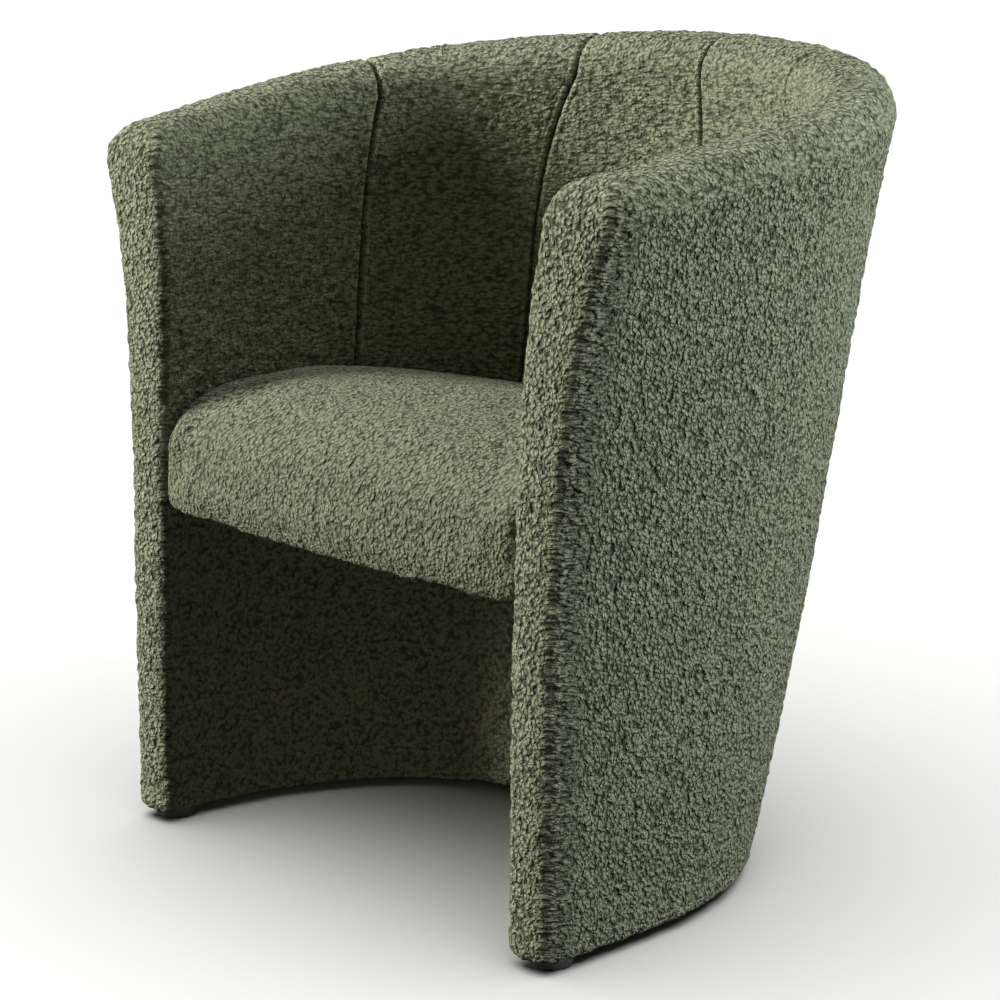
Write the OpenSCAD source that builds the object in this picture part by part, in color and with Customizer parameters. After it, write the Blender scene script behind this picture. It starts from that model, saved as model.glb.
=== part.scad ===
// Tub-shaped club chair: a plywood frame of upright formers between flat ribs,
// bent board, wadding and foam over it, and a tight sprung seat, all in one cloth.
// X runs across the chair, -Y is the front, Z is up and the floor is at Z = 0.

/* [Overall] */
// Height that the plane of the rim's top reaches at the very back
chair_h = 760; // [735:1:790]
// Height of that plane at the very front of the arms
arm_h = 680; // [655:1:700]
// Radius of the soft edges of the rim
rim_r = 30; // [26:1:33]
// Height of the cloth's lower edge above the floor
hem_z = 13; // [10:1:20]

/* [Shell outline] */
// Half of the outside width at the foot
foot_half_w = 290; // [284:1:300]
// Outward lean of each side from foot to rim
side_lean = 38; // [32:1:44]
// Further outward curl of each side under the rim
side_curl = 28.8; // [22:0.1:32]
// Depth of the rounded back at the foot, from its centre line
foot_back_d = 278; // [270:1:286]
// Depth of the rounded back halfway up
mid_back_d = 314; // [308:1:320]
// Depth of the rounded back at the rim
rim_back_d = 328; // [322:1:334]
// Place of the back's centre line at the foot
foot_centre_y = -135; // [-141:1:-129]
// Place of the back's centre line halfway up
mid_centre_y = -71; // [-75:1:-67]
// Place of the back's centre line at the rim
rim_centre_y = -33; // [-37:1:-29]
// Front face of the arms at the foot
foot_front_y = -286.5; // [-293:0.5:-283]
// Distance that the arm fronts rake back on the way up
front_rake = 20.8; // [14:0.1:26]
// Inward turn of the arm ends at the foot
foot_toe_in = 8; // [5:0.5:11]
// Gain of that inward turn from foot to rim
arm_toe_in = 40; // [34:1:44]
// Outward turn that the curl gives back at the rim
rim_toe_out = 20; // [14:1:24]

/* [Wall] */
// Thickness of the arms and back over the seat
wall_t = 43.6; // [43.6:0.1:50]
// Swelling of the wall into the rim roll
rim_swell = 29.6; // [26:0.1:34]
// Radius of the outer front corner of each arm
corner_r = 12; // [8:1:14]

/* [Layers] */
// Thickness of the looped cloth
cloth_t = 4; // [2.5:0.1:4.5]
// Thickness of the wadding on the outside
wadding_t = 3; // [2:0.1:3.5]
// Thickness of the bent hardboard panels
board_t = 2.5; // [2:0.1:3]
// Foam on the inside of the wall over the seat
foam_t = 9; // [7:0.1:10]
// Further foam on the inside of the wall at the rim
foam_gain = 13; // [8:1:16]
// Foam between the rim rib and its cloth, on top
rim_foam_t = 8; // [6:0.5:10]
// Foam between the rim rib and its cloth, outside
rim_side_foam_t = 9.4; // [8:0.1:12]
// Clearance between neighbouring layers
fit = 0.3; // [0.2:0.05:0.4]
// Depth of the sewn seams in the inside cloth
seam_d = 2.8; // [1:0.1:3]
// Thickness of the black lining cloth
lining_t = 0.8; // [0.5:0.1:1.2]

/* [Under the seat] */
// Place of the deepest point of the curved panel under the seat
alcove_y = 21.5; // [10:0.5:35]

/* [Frame] */
// Thickness of the plywood ribs and formers
ply_t = 18; // [15:0.5:20]
// Thickness of the two arm front formers
arm_ply_t = 24; // [20:0.5:28]
// Front pad on each arm former, at foot and rim
arm_pad_t = 9; // [8:0.5:10]
// Distance of the foot screws from the outer edge of the base rib
foot_screw_in = 20; // [12:1:24]
// Direction of the rear formers, from the back towards the side
rear_former_angle = 45; // [38:1:52]
// Place of the axis that the formers point to
former_axis_y = -95; // [-105:1:-85]
// Diameter of the frame screws
screw_d = 4; // [3.5:0.1:4.5]
// Length of the frame screws
screw_l = 45; // [40:1:50]
// Play between the formers' edges and the bent boards
former_gap = 1.2; // [0.8:0.1:1.6]

/* [Seat] */
// Height of the seat's underside at the front
seat_z = 328; // [318:1:338]
// Height where the front face starts to round over
seat_shoulder_z = 386; // [386:0.5:392]
// Height of the seat's soft edge
seat_edge_z = 437; // [434:1:440]
// Further height at the middle of the seat
seat_crown = 10; // [6:1:14]
// Fall of the seat's top from its front to its back
seat_fall = 40; // [34:0.5:41]
// Place where the seat's top starts to fall
seat_fall_front_y = -122; // [-135:1:-110]
// Place where the seat's top has fallen all the way
seat_fall_back_y = 115; // [100:1:130]
// Front line of the seat at its corners
seat_front_y = -283; // [-286:0.5:-280]
// Forward bow of the front line at its middle
seat_bow = 9; // [4:0.5:12]
// Depth of the rounding at the front edge
seat_front_r = 94; // [84:1:100]
// Depth of the rounding along the arms and back
seat_side_r = 12; // [8:1:16]
// Radius of the seat's front corners in plan
seat_corner_r = 16; // [10:1:20]
// Narrow gap between the seat and the arms and back
seat_gap = 1.6; // [1.4:0.1:2.2]
// Height of the seat rails
rail_h = 32; // [28:1:34]
// Thickness of the seat rails
rail_t = 22; // [18:1:26]
// Thickness of the seat deck
deck_t = 12; // [10:0.5:13]
// Half of the width of the deck's opening
deck_hole_half_w = 158; // [150:1:165]
// Back edge of the deck's opening
deck_hole_back_y = 101; // [90:1:110]
// Width of the deck's front margin
deck_front_w = 42; // [36:1:48]
// Thickness of the felt over the springs
felt_t = 3.2; // [2.5:0.1:3.4]

/* [Springs] */
// Number of sinuous springs
spring_count = 4; // [3:1:4]
// Distance between neighbouring springs
spring_gap = 80; // [74:1:86]
// Diameter of the spring wire
wire_d = 3.4; // [3:0.1:3.6]
// Width of each spring
spring_w = 46; // [40:1:50]
// Number of half waves in each spring
spring_waves = 16; // [12:2:18]
// Thickness of the sheet that the clips are bent from
clip_t = 1; // [0.8:0.1:1.2]
// Length of each clip along its wire
clip_l = 16; // [12:1:20]

/* [Glides] */
// Diameter of the glides
glide_d = 38; // [34:1:40]
// Distance of the front glides from the outside of the arms
front_glide_in = 29; // [28.5:0.5:30]
// Distance of the front glides from the front of the arms
front_glide_back = 30.5; // [27:0.5:36]
// Distance of the rear glides from the middle
rear_glide_x = 120; // [100:1:140]
// Distance of the rear glides from the very back
rear_glide_in = 64; // [60:1:78]
// Radius of the glide's lower edge
glide_edge_r = 2; // [1:0.5:4]
// Length of the glide screws
glide_screw_l = 25; // [20:1:28]

/* [Hidden] */
$fn = 48;

// Powers of the curl of the sides and of the swelling at the rim
curl_power = 5;
swell_power = 4;
// Fullness of the rounded back in plan, where 2 is an ellipse
foot_fullness = 2.13;
rim_fullness = 1.94;
// Part of the half wall that the rounded back takes in every grid
turn_share = 0.8;
// Columns on each half of a wall grid, and steps up the wall and over an edge
half_cols = 15;
wall_rows = 6;
edge_rows = 3;
// Columns on each half that the seat rib spans
seat_rib_cols = 13;
// Places of the two sewn seams on each half of the inside, at seat and rim,
// and the power by which they bend towards the rim
seat_seam_shares = [0.356, 0.702];
rim_seam_shares = [0.264, 0.652];
seam_power = 4;
// How much of the corner radius is lost towards the rim
corner_fade_share = 0.9;
corner_fade_power = 6;

// Insets from the outside of the wall
wadding_in = cloth_t + 2*fit;
board_in = wadding_in + wadding_t + fit;
frame_in = board_in + board_t + fit;
rim_in = cloth_t + fit + rim_side_foam_t;
// Inset of the arm formers from the front face, at foot and rim
front_in = cloth_t + fit + arm_pad_t;
// Inset of the frame from the curved panel under the seat
alcove_in = cloth_t + fit + board_t + fit;

// Levels
base_z = hem_z + cloth_t + fit;
base_top_z = base_z + ply_t;
rail_z = seat_z + cloth_t + fit;
deck_z = rail_z + rail_h;
deck_top_z = deck_z + deck_t;
shelf_z = rail_z - ply_t;
clip_h = wire_d + fit + 2*clip_t;
wire_z = deck_top_z + clip_h/2;
felt_z = deck_top_z + clip_h + fit;
foam_z = felt_z + felt_t + fit;
tuck_z = deck_top_z + fit;
alcove_top_z = seat_z - fit;
// Rim rib above the plane where the rounding of the rim starts
rib_top_rise = rim_r - cloth_t - fit - rim_foam_t;
rib_rise = rib_top_rise - ply_t;

overrun = 1;
reach = 1000;
hole_d = screw_d + fit;
head_d = 2*screw_d;
head_h = screw_d/2;

// Curves of the shell, with s the share of the height from hem to rim

function through(foot, middle, rim, s) = foot*(1 - s)*(1 - 2*s) + 4*middle*s*(1 - s) + rim*s*(2*s - 1);
function mix(a, b, f) = a + (b - a)*f;
function half_w(s) = foot_half_w + side_lean*s + side_curl*pow(s, curl_power);
function back_d(s) = through(foot_back_d, mid_back_d, rim_back_d, s);
function centre_y(s) = through(foot_centre_y, mid_centre_y, rim_centre_y, s);
function front_y(s) = foot_front_y + front_rake*s*s;
function toe_in(s) = foot_toe_in + arm_toe_in*s - rim_toe_out*pow(s, curl_power);
function wall(s) = wall_t + rim_swell*pow(s, swell_power);
function foam(s) = foam_t + foam_gain*pow(s, swell_power);
function fullness(s) = mix(foot_fullness, rim_fullness, s);
function corner(s) = corner_r*(1 - corner_fade_share*pow(s, corner_fade_power));

// The arm formers are straight, so the layers end further behind the bowed front face
function behind_pad(s) = front_in + front_rake*s*(1 - s);

// Insets of the inside layers at a share of the height
function foam_out(s) = wall(s) - cloth_t - fit - foam(s);
function board_out(s) = foam_out(s) - fit - board_t;
function frame_out(s) = board_out(s) - fit;

// Point in plan at share s, inset d from the outside and e from the front face.
// u runs from 0 at the middle of the back to 1 at the front of the right arm.
function arm_x(s, d, y) =
    let (w = (y - centre_y(s))/(front_y(s) - centre_y(s)))
    half_w(s) - d - toe_in(s)*w*w;
function half_plan(s, d, u, e) =
    u < turn_share
    ? let (a = 90*u/turn_share, p = 2/fullness(s))
      [(half_w(s) - d)*pow(sin(a), p), centre_y(s) + (back_d(s) - d)*pow(cos(a), p)]
    : let (y = mix(centre_y(s), front_y(s) + e, (u - turn_share)/(1 - turn_share)))
      [arm_x(s, d, y), y];
function plan(s, d, u, e = 0) =
    let (p = half_plan(s, d, abs(u), e))
    [u < 0 ? -p.x : p.x, p.y];

// The top of the rim is a plane that rises from the arms to the back
rim_front_y = front_y(1);
rim_slope = (chair_h - arm_h)/(centre_y(1) + back_d(1) - rim_front_y);
rim_tilt = atan(rim_slope);
function rim_z(y) = arm_h + rim_slope*(y - rim_front_y);
function rise(u, d = 0, e = 0) = rim_z(plan(1, d, u, e).y) - rim_r - hem_z;
function share_at(z, u, d = 0) = (z - hem_z)/rise(u, d);
function on_wall(s, d, u, e = 0, lift = 0) =
    let (p = plan(s, d, u, e))
    [p.x, p.y, hem_z + s*rise(u, d, e) + lift];

// Inset and lift of a point on the rounded edge of the rim, d inside the cloth's face
function edge_in(a, d) = d + (rim_r - d)*(1 - cos(a));
function edge_lift(a, d) = (rim_r - d)*sin(a);

// Half of the clear width between the arms at the foot and the curved panel's plan
alcove_half_w = arm_x(0, wall_t, foot_front_y);
alcove_depth = alcove_y - foot_front_y;
function alcove(a, d) = [(alcove_half_w + d)*sin(a), foot_front_y + (alcove_depth + d)*cos(a)];

// Radial line through the shell: the distance from the formers' axis to inset d
function ray_u(angle, z, d, low = 0, high = 1, n = 16) =
    let (u = (low + high)/2, p = plan(share_at(z, u, d), d, u))
    n == 0 ? u
    : atan2(p.x, p.y - former_axis_y) < angle
    ? ray_u(angle, z, d, u, high, n - 1)
    : ray_u(angle, z, d, low, u, n - 1);
function ray(angle, z, d) =
    let (u = ray_u(angle, z, d), p = plan(share_at(z, u, d), d, u))
    norm(p - [0, former_axis_y]);
function ray_share(angle, z) = share_at(z, ray_u(angle, z, frame_in), frame_in);

// Distances that the whole thickness of a former keeps inside the outside layers,
// and outside of the inside layers
function ply_turn(r) = atan(ply_t/2/r);
function across(angle, z, d) =
    let (r = ray(angle, z, d), t = ply_turn(r))
    [r, ray(angle + t, z, d)*cos(t), ray(abs(angle - t), z, d)*cos(t)];
function outer_edge(angle, z) = min(across(angle, z, frame_in)) - former_gap;
function inner_edge(angle, z) = max(across(angle, z, frame_out(ray_share(angle, z)))) + former_gap;
function alcove_ray(angle, d, low = 0, high = 90, n = 16) =
    let (a = (low + high)/2, p = alcove(a, d))
    n == 0 ? norm(p - [0, former_axis_y])
    : atan2(p.x, p.y - former_axis_y) < angle
    ? alcove_ray(angle, d, a, high, n - 1)
    : alcove_ray(angle, d, low, a, n - 1);
function alcove_edge(angle) =
    let (t = ply_turn(alcove_ray(angle, alcove_in)))
    max([for (turn = [-t, 0, t]) alcove_ray(abs(angle + turn), alcove_in)*cos(turn)]) + former_gap;

// Builders of soft solids from grids of points

function quad(a, b, c, d) = [[a, b, c], [a, c, d]];

// Solid between two grids with the same rows and columns
module slab(face, back) {
    rows = len(face) - 1;
    cols = len(face[0]) - 1;
    n = (rows + 1)*(cols + 1);
    function id(side, r, c) = side*n + r*(cols + 1) + c;
    tiles = [
        for (r = [0:rows - 1], c = [0:cols - 1]) each [
            quad(id(0, r, c), id(0, r + 1, c), id(0, r + 1, c + 1), id(0, r, c + 1)),
            quad(id(1, r, c), id(1, r, c + 1), id(1, r + 1, c + 1), id(1, r + 1, c))
        ],
        for (c = [0:cols - 1]) each [
            quad(id(0, 0, c), id(0, 0, c + 1), id(1, 0, c + 1), id(1, 0, c)),
            quad(id(0, rows, c), id(1, rows, c), id(1, rows, c + 1), id(0, rows, c + 1))
        ],
        for (r = [0:rows - 1]) each [
            quad(id(0, r, 0), id(1, r, 0), id(1, r + 1, 0), id(0, r + 1, 0)),
            quad(id(0, r, cols), id(0, r + 1, cols), id(1, r + 1, cols), id(1, r, cols))
        ]
    ];
    polyhedron(
        points = [for (grid = [face, back], row = grid, p = row) p],
        faces = [for (t = tiles) each t],
        convexity = 10
    );
}

// Closed solid through stacked loops, from a bottom point to a top point
module dome(loops, bottom, top) {
    rows = len(loops) - 1;
    n = len(loops[0]);
    low = (rows + 1)*n;
    function id(r, c) = r*n + c%n;
    polyhedron(
        points = [for (loop = loops, p = loop) p, bottom, top],
        faces = [
            for (r = [0:rows - 1], c = [0:n - 1])
                each quad(id(r, c), id(r, c + 1), id(r + 1, c + 1), id(r + 1, c)),
            for (c = [0:n - 1]) [low, id(0, c + 1), id(0, c)],
            for (c = [0:n - 1]) [low + 1, id(rows, c), id(rows, c + 1)]
        ],
        convexity = 10
    );
}

// Grid up the shell from a level to the rim, on an inset that varies with the share
all_u = [for (i = [-half_cols:half_cols]) i/half_cols];
function share_over(low_z, u, d_of, r) =
    mix(share_at(low_z, u, d_of(share_at(low_z, u))), 1, r/wall_rows);
function wall_grid(d_of, lift, low_z) = [
    for (r = [0:wall_rows])
    [for (u = all_u)
        let (s = share_over(low_z, u, d_of, r))
        on_wall(s, d_of(s), u, behind_pad(s), lift*r/wall_rows)]
];
function turned(grid) = [for (row = grid) [for (i = [len(row) - 1:-1:0]) row[i]]];

// Flat outline in the rim's plane or at one level

module flat_rib(outer, inner, t) {
    linear_extrude(t)
        polygon(concat(outer, [for (i = [len(inner) - 1:-1:0]) inner[i]]));
}

module screw(l) {
    cylinder(d = screw_d, h = l);
    cylinder(d1 = head_d, d2 = screw_d, h = head_h);
}

module screw_hole(l) {
    translate([0, 0, -overrun])
        cylinder(d = hole_d, h = l + overrun);
    translate([0, 0, -overrun])
        cylinder(d = head_d + fit, h = overrun);
    cylinder(d1 = head_d + fit, d2 = hole_d, h = head_h);
}

// Places of the screws under and over the formers

former_angles = [-90, -rear_former_angle, 0, rear_former_angle, 90];
function former_foot(angle) =
    let (r = ray(abs(angle), base_z, frame_in) - foot_screw_in)
    [r*sin(angle), former_axis_y + r*cos(angle)];
arm_lean = atan(front_rake/(rise(1)));
function arm_face_y(z) = foot_front_y + front_in + (z - hem_z)*tan(arm_lean);
function arm_foot(side) = [
    side*(alcove_half_w + alcove_in + head_d),
    arm_face_y(base_z) + arm_ply_t/4
];
rim_front_z = hem_z + rise(1);

// Edges of the right arm's former, whose faces run straight across the arm
function arm_share(z) = min(1, share_at(z, 1));
function arm_former_out_x(z) =
    arm_x(arm_share(z), frame_in + former_gap, front_y(arm_share(z)) + front_in);
function arm_former_in_x(z) =
    arm_x(arm_share(z), frame_out(arm_share(z)) - 2*former_gap, arm_face_y(z) + arm_ply_t);
foot_screws = concat(
    [for (a = former_angles) former_foot(a)],
    [for (side = [-1, 1]) arm_foot(side)]
);

// Frame

module base_rib() {
    front = arm_face_y(base_top_z);
    outer = [for (u = all_u) plan(share_at(base_z, u), frame_in, u, front - foot_front_y)];
    inner = [
        for (i = [-half_cols:half_cols])
        let (p = alcove(90*i/half_cols, alcove_in))
        [p.x, max(p.y, front)]
    ];
    color("burlywood")
    difference() {
        translate([0, 0, base_z])
            flat_rib(outer, inner, ply_t);
        for (p = foot_screws)
            translate([p.x, p.y, base_z])
                screw_hole(screw_l);
        for (p = glide_places)
            translate([p.x, p.y, base_z - overrun])
                cylinder(d = hole_d, h = glide_well_h + glide_screw_l + fit - base_z + overrun);
    }
}

module seat_rib() {
    outer = [
        for (i = [-seat_rib_cols:seat_rib_cols])
        let (u = i/half_cols, s = share_at(shelf_z, u))
        plan(s, frame_out(s) + fit, u)
    ];
    inner = [
        for (i = [-half_cols:half_cols])
        let (p = alcove(90*i/half_cols, alcove_in))
        if (p.y > outer[0].y) p
    ];
    color("burlywood")
    translate([0, 0, shelf_z])
        flat_rib(outer, inner, ply_t);
}

module rim_plane(lift) {
    translate([0, rim_front_y, rim_z(rim_front_y) - rim_r + lift])
        rotate([rim_tilt, 0, 0])
        children();
}

function in_rim_plane(p) = [p.x, (p.y - rim_front_y)/cos(rim_tilt)];

rib_front_in = front_in + fit + ply_t*sin(rim_tilt);
module rim_rib() {
    inset = foam_out(1) - fit;
    outer = [for (u = all_u) in_rim_plane(plan(1, rim_in, u, rib_front_in))];
    inner = [for (u = all_u) in_rim_plane(plan(1, inset, u, rib_front_in))];
    color("burlywood")
    rim_plane(rib_rise)
        flat_rib(outer, inner, ply_t*cos(rim_tilt));
}

// Everything over the underside of the rim rib
module over_rim_rib() {
    rim_plane(rib_rise)
        translate([-reach, -reach, 0])
        cube([2*reach, 2*reach, reach]);
}

module former(angle) {
    z_top = rim_z(former_axis_y + ray(angle, rim_front_z, frame_in)*cos(angle)) - rim_r;
    zs = [for (i = [0:wall_rows]) mix(base_top_z, z_top, i/wall_rows)];
    upper = [for (z = zs) if (z > shelf_z) z];
    outline = concat(
        [for (z = zs) [outer_edge(angle, z), z]],
        [for (i = [len(upper) - 1:-1:0]) [inner_edge(angle, upper[i]), upper[i]]],
        [
            [inner_edge(angle, shelf_z), shelf_z],
            [alcove_edge(angle), shelf_z],
            [alcove_edge(angle), base_top_z]
        ]
    );
    color("tan")
    difference() {
        translate([0, former_axis_y, 0])
            rotate([90, 0, 90 - angle])
            linear_extrude(ply_t, center = true)
            polygon(outline);
        over_rim_rib();
        for (p = foot_screws)
            translate([p.x, p.y, base_z])
                screw_hole(screw_l);
    }
}

module left() {
    mirror([1, 0, 0])
        children();
}

module arm_former() {
    zs = [for (i = [0:wall_rows]) mix(base_top_z, rim_front_z + rim_r, i/wall_rows)];
    upper = [for (z = zs) if (z > alcove_top_z) z];
    outline = concat(
        [for (z = zs) [arm_former_out_x(z), z]],
        [for (i = [len(upper) - 1:-1:0]) [arm_former_in_x(upper[i]), upper[i]]],
        [
            [arm_former_in_x(alcove_top_z), alcove_top_z],
            [alcove_half_w + alcove_in + former_gap, alcove_top_z],
            [alcove_half_w + alcove_in + former_gap, base_top_z]
        ]
    );
    color("tan")
    difference() {
        translate([0, arm_face_y(base_top_z), base_top_z])
            rotate([-arm_lean, 0, 0])
            translate([0, arm_ply_t, -base_top_z])
            rotate([90, 0, 0])
            linear_extrude(arm_ply_t)
            polygon(outline);
        over_rim_rib();
        translate([-reach, -reach, base_top_z - reach])
            cube([2*reach, 2*reach, reach]);
        for (p = foot_screws)
            translate([p.x, p.y, base_z])
                screw_hole(screw_l);
        rail_screw_places()
            screw_hole(screw_l);
    }
}

// Seat frame

rail_front_y = arm_face_y(deck_top_z) + fit;
rail_half_w = min(arm_former_in_x(rail_z), arm_former_in_x(deck_z)) - fit;
side_rail_x = deck_hole_half_w + rail_t/2;
back_rail_y = deck_hole_back_y;
rail_screw_rise = rail_h/4;

module rail_screw_places() {
    for (dz = [rail_screw_rise, rail_h - rail_screw_rise])
        translate([arm_former_out_x(rail_z + dz), rail_front_y + rail_t/2, rail_z + dz])
            rotate([0, -90, 0])
            children();
}

module both() {
    children();
    left() children();
}

module front_rail() {
    color("wheat")
    difference() {
        translate([-rail_half_w, rail_front_y, rail_z])
            cube([2*rail_half_w, rail_t, rail_h]);
        both()
            rail_screw_places()
            screw_hole(screw_l);
    }
}

module side_rail() {
    color("wheat")
    translate([side_rail_x, rail_front_y + rail_t, rail_z])
        cube([rail_t, back_rail_y - rail_front_y, rail_h]);
}

module back_rail() {
    color("wheat")
    translate([-side_rail_x, back_rail_y, rail_z])
        cube([2*side_rail_x, rail_t, rail_h]);
}

module corner_blocks() {
    block = 2*rail_t;
    color("wheat")
    both() {
        translate([side_rail_x, rail_front_y + rail_t, rail_z])
            linear_extrude(rail_h)
            polygon([[0, 0], [-block, 0], [0, block]]);
        translate([side_rail_x, back_rail_y, rail_z])
            linear_extrude(rail_h)
            polygon([[0, 0], [-block, 0], [0, -block]]);
    }
}

// Outline of the seat's flat layers, a further distance inside the arms
function deck_outline(d) = [
    for (u = all_u)
    let (s = share_at(deck_top_z, u))
    plan(s, wall(s) + d, u, rail_front_y - front_y(s) + d - fit)
];

module seat_deck() {
    color("burlywood")
    translate([0, 0, deck_z])
    linear_extrude(deck_t)
    difference() {
        polygon(deck_outline(fit));
        translate([-deck_hole_half_w, rail_front_y + deck_front_w])
            square([2*deck_hole_half_w, deck_hole_back_y - rail_front_y - deck_front_w]);
    }
}

// Springs lie front to back over the deck's opening

spring_start_y = rail_front_y + deck_front_w/2;
spring_end_y = deck_hole_back_y + rail_t/2;
wave_pitch = (spring_end_y - spring_start_y)/spring_waves;
bar_l = spring_w - wave_pitch;
wire_sides = 5;
turn_steps = 3;
spring_xs = [for (i = [0:spring_count - 1]) (i - (spring_count - 1)/2)*spring_gap];

// Centre line of a spring with the direction of the wire at each point
function turn_side(k) = k%2 == 0 ? 1 : -1;
spring_path = concat(
    [[[-bar_l/2, 0], [1, 0]]],
    [for (k = [0:spring_waves - 1], i = [0:turn_steps])
        let (a = 180*i/turn_steps, side = turn_side(k))
        [
            [side*(bar_l/2 + wave_pitch/2*sin(a)), wave_pitch*(k + (1 - cos(a))/2)],
            [side*cos(a), sin(a)]
        ]],
    [[[-turn_side(spring_waves - 1)*bar_l/2, wave_pitch*spring_waves], [-turn_side(spring_waves - 1), 0]]]
);

module spring() {
    n = len(spring_path);
    points = [
        for (station = spring_path, i = [0:wire_sides - 1])
        let (p = station[0], v = station[1], a = 360*i/wire_sides, r = wire_d/2)
        [p.x + r*cos(a)*v.y, p.y - r*cos(a)*v.x, r*sin(a)]
    ];
    function id(k, i) = k*wire_sides + i%wire_sides;
    polyhedron(
        points = points,
        faces = [
            for (k = [0:n - 2], i = [0:wire_sides - 1])
                each quad(id(k, i), id(k, i + 1), id(k + 1, i + 1), id(k + 1, i)),
            [for (i = [wire_sides - 1:-1:0]) i],
            [for (i = [0:wire_sides - 1]) id(n - 1, i)]
        ],
        convexity = 10
    );
}

module seat_springs() {
    color("silver")
    for (x = spring_xs)
        translate([x, spring_start_y, wire_z])
        spring();
}

// Each clip is a bent strip, open towards its spring
module spring_clip() {
    leg = 3*wire_d;
    rotate([90, 0, 90])
    linear_extrude(clip_l, center = true)
    difference() {
        translate([-wire_d - clip_t, 0])
            square([leg, clip_h]);
        translate([-wire_d, clip_t])
            square([leg, clip_h - 2*clip_t]);
    }
}

module spring_clips() {
    color("gray")
    for (x = spring_xs) {
        translate([x, spring_start_y, deck_top_z])
            spring_clip();
        translate([x, spring_end_y, deck_top_z])
            rotate([0, 0, 180])
            spring_clip();
    }
}

module spring_felt() {
    color("dimgray")
    translate([0, 0, felt_z])
    linear_extrude(felt_t)
    polygon(deck_outline(seat_gap + cloth_t + fit));
}

// Bent boards

module outer_board() {
    face = wall_grid(function(s) board_in, rib_rise - fit, base_z);
    back = wall_grid(function(s) board_in + board_t, rib_rise - fit, base_z);
    color("peru")
    slab(turned(face), turned(back));
}

module inner_board() {
    face = wall_grid(function(s) board_out(s) + board_t, rib_rise - fit, tuck_z);
    back = wall_grid(function(s) board_out(s), rib_rise - fit, tuck_z);
    color("peru")
    slab(face, back);
}

// Upright curved sheet around the space under the seat
module alcove_sheet(d, t, low_z) {
    rows = 2;
    function sheet(inset) = [
        for (r = [0:rows])
        let (z = mix(low_z, alcove_top_z, r/rows), front = front_y(share_at(z, 1)) + cloth_t + fit)
        [for (i = [-half_cols:half_cols])
            let (p = alcove(90*i/half_cols, inset))
            [p.x, max(p.y, front), z]]
    ];
    slab(sheet(d), sheet(d + t));
}

module alcove_board() {
    color("peru")
    alcove_sheet(cloth_t + fit, board_t, base_z);
}

// Wadding and foam

module outer_wadding() {
    face = wall_grid(function(s) wadding_in, rib_rise - fit, base_z);
    back = wall_grid(function(s) wadding_in + wadding_t, rib_rise - fit, base_z);
    color("ivory")
    slab(turned(face), turned(back));
}

module back_foam() {
    face = wall_grid(function(s) wall(s) - cloth_t - 2*fit, rib_rise - fit, tuck_z);
    back = wall_grid(function(s) foam_out(s), rib_rise - fit, tuck_z);
    color("lightyellow")
    slab(face, back);
}

edge_angles = [for (i = [0:edge_rows]) 90*i/edge_rows];

// Foam roll that fits over the rim rib, whose thickness leans with the rim's plane
module rim_foam() {
    d = cloth_t + fit;
    rib_outer = rim_in - fit;
    rib_inner = foam_out(1);
    n = 2*edge_rows + 1;
    top = ply_t*cos(rim_tilt) + fit;
    function row(inset, lift, e) = [for (u = all_u) on_wall(1, inset, u, max(e, front_in + fit), lift)];
    function hidden(inset, t) = [
        for (u = all_u)
        let (p = plan(1, inset, u, rib_front_in))
        [p.x, p.y - t*sin(rim_tilt), rim_z(p.y) - rim_r + rib_rise + t*cos(rim_tilt)]
    ];
    face = concat(
        [row(wall(1) - d, rib_rise, 0)],
        [for (a = edge_angles) row(wall(1) - edge_in(a, d), edge_lift(a, d), edge_in(a, d))],
        [for (i = [edge_rows:-1:0])
            let (a = edge_angles[i])
            row(edge_in(a, d), edge_lift(a, d), edge_in(a, d))],
        [row(d, rib_rise, 0)]
    );
    back = concat(
        [hidden(rib_inner, 0)],
        [for (i = [0:n]) hidden(mix(rib_inner, rib_outer, i/n), top)],
        [hidden(rib_outer, 0)]
    );
    color("lightyellow")
    slab(face, back);
}

// Grid up the front of the right arm and over its top edge, d behind the cloth's face
front_cols = 4;
function corner_x(s) = arm_x(s, 0, front_y(s) + corner(s)) - corner(s) - 3*fit;
function front_row(low_x, high_x, y, z) = [for (c = [0:front_cols]) [mix(low_x, high_x, c/front_cols), y, z]];
function arm_front(d, low_z, angles) = concat(
    [for (r = [0:wall_rows])
        let (s = mix(share_at(low_z, 1), 1, r/wall_rows), y = front_y(s) + d)
        front_row(arm_x(s, wall(s) - d - 3*fit, y), corner_x(s), y, hem_z + s*rise(1))],
    [for (a = angles)
        let (inset = edge_in(a, d), y = front_y(1) + inset)
        front_row(
            arm_x(1, wall(1) - inset - 3*fit, y),
            arm_x(1, inset + 3*fit, y),
            y,
            rim_z(y) - rim_r + edge_lift(a, d)
        )]
);

// The pad's inner edge keeps clear of the curved panel under the seat
module arm_pad() {
    low_x = alcove_half_w + alcove_in;
    front = arm_front(cloth_t + fit, base_z, [edge_angles[1]]);
    function behind(y, row) =
        let (s = arm_share(row[0].z))
        max(low_x, row[0].x + arm_x(s, 0, y) - arm_x(s, 0, row[0].y));
    function sheet(y_of) = [
        for (row = front)
        let (y = y_of(row), x = behind(arm_face_y(row[0].z) - fit, row))
        front_row(x, row[front_cols].x - cloth_t, y, row[0].z)
    ];
    color("lightyellow")
    slab(sheet(function(row) row[0].y), sheet(function(row) arm_face_y(row[0].z) - fit));
}

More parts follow.
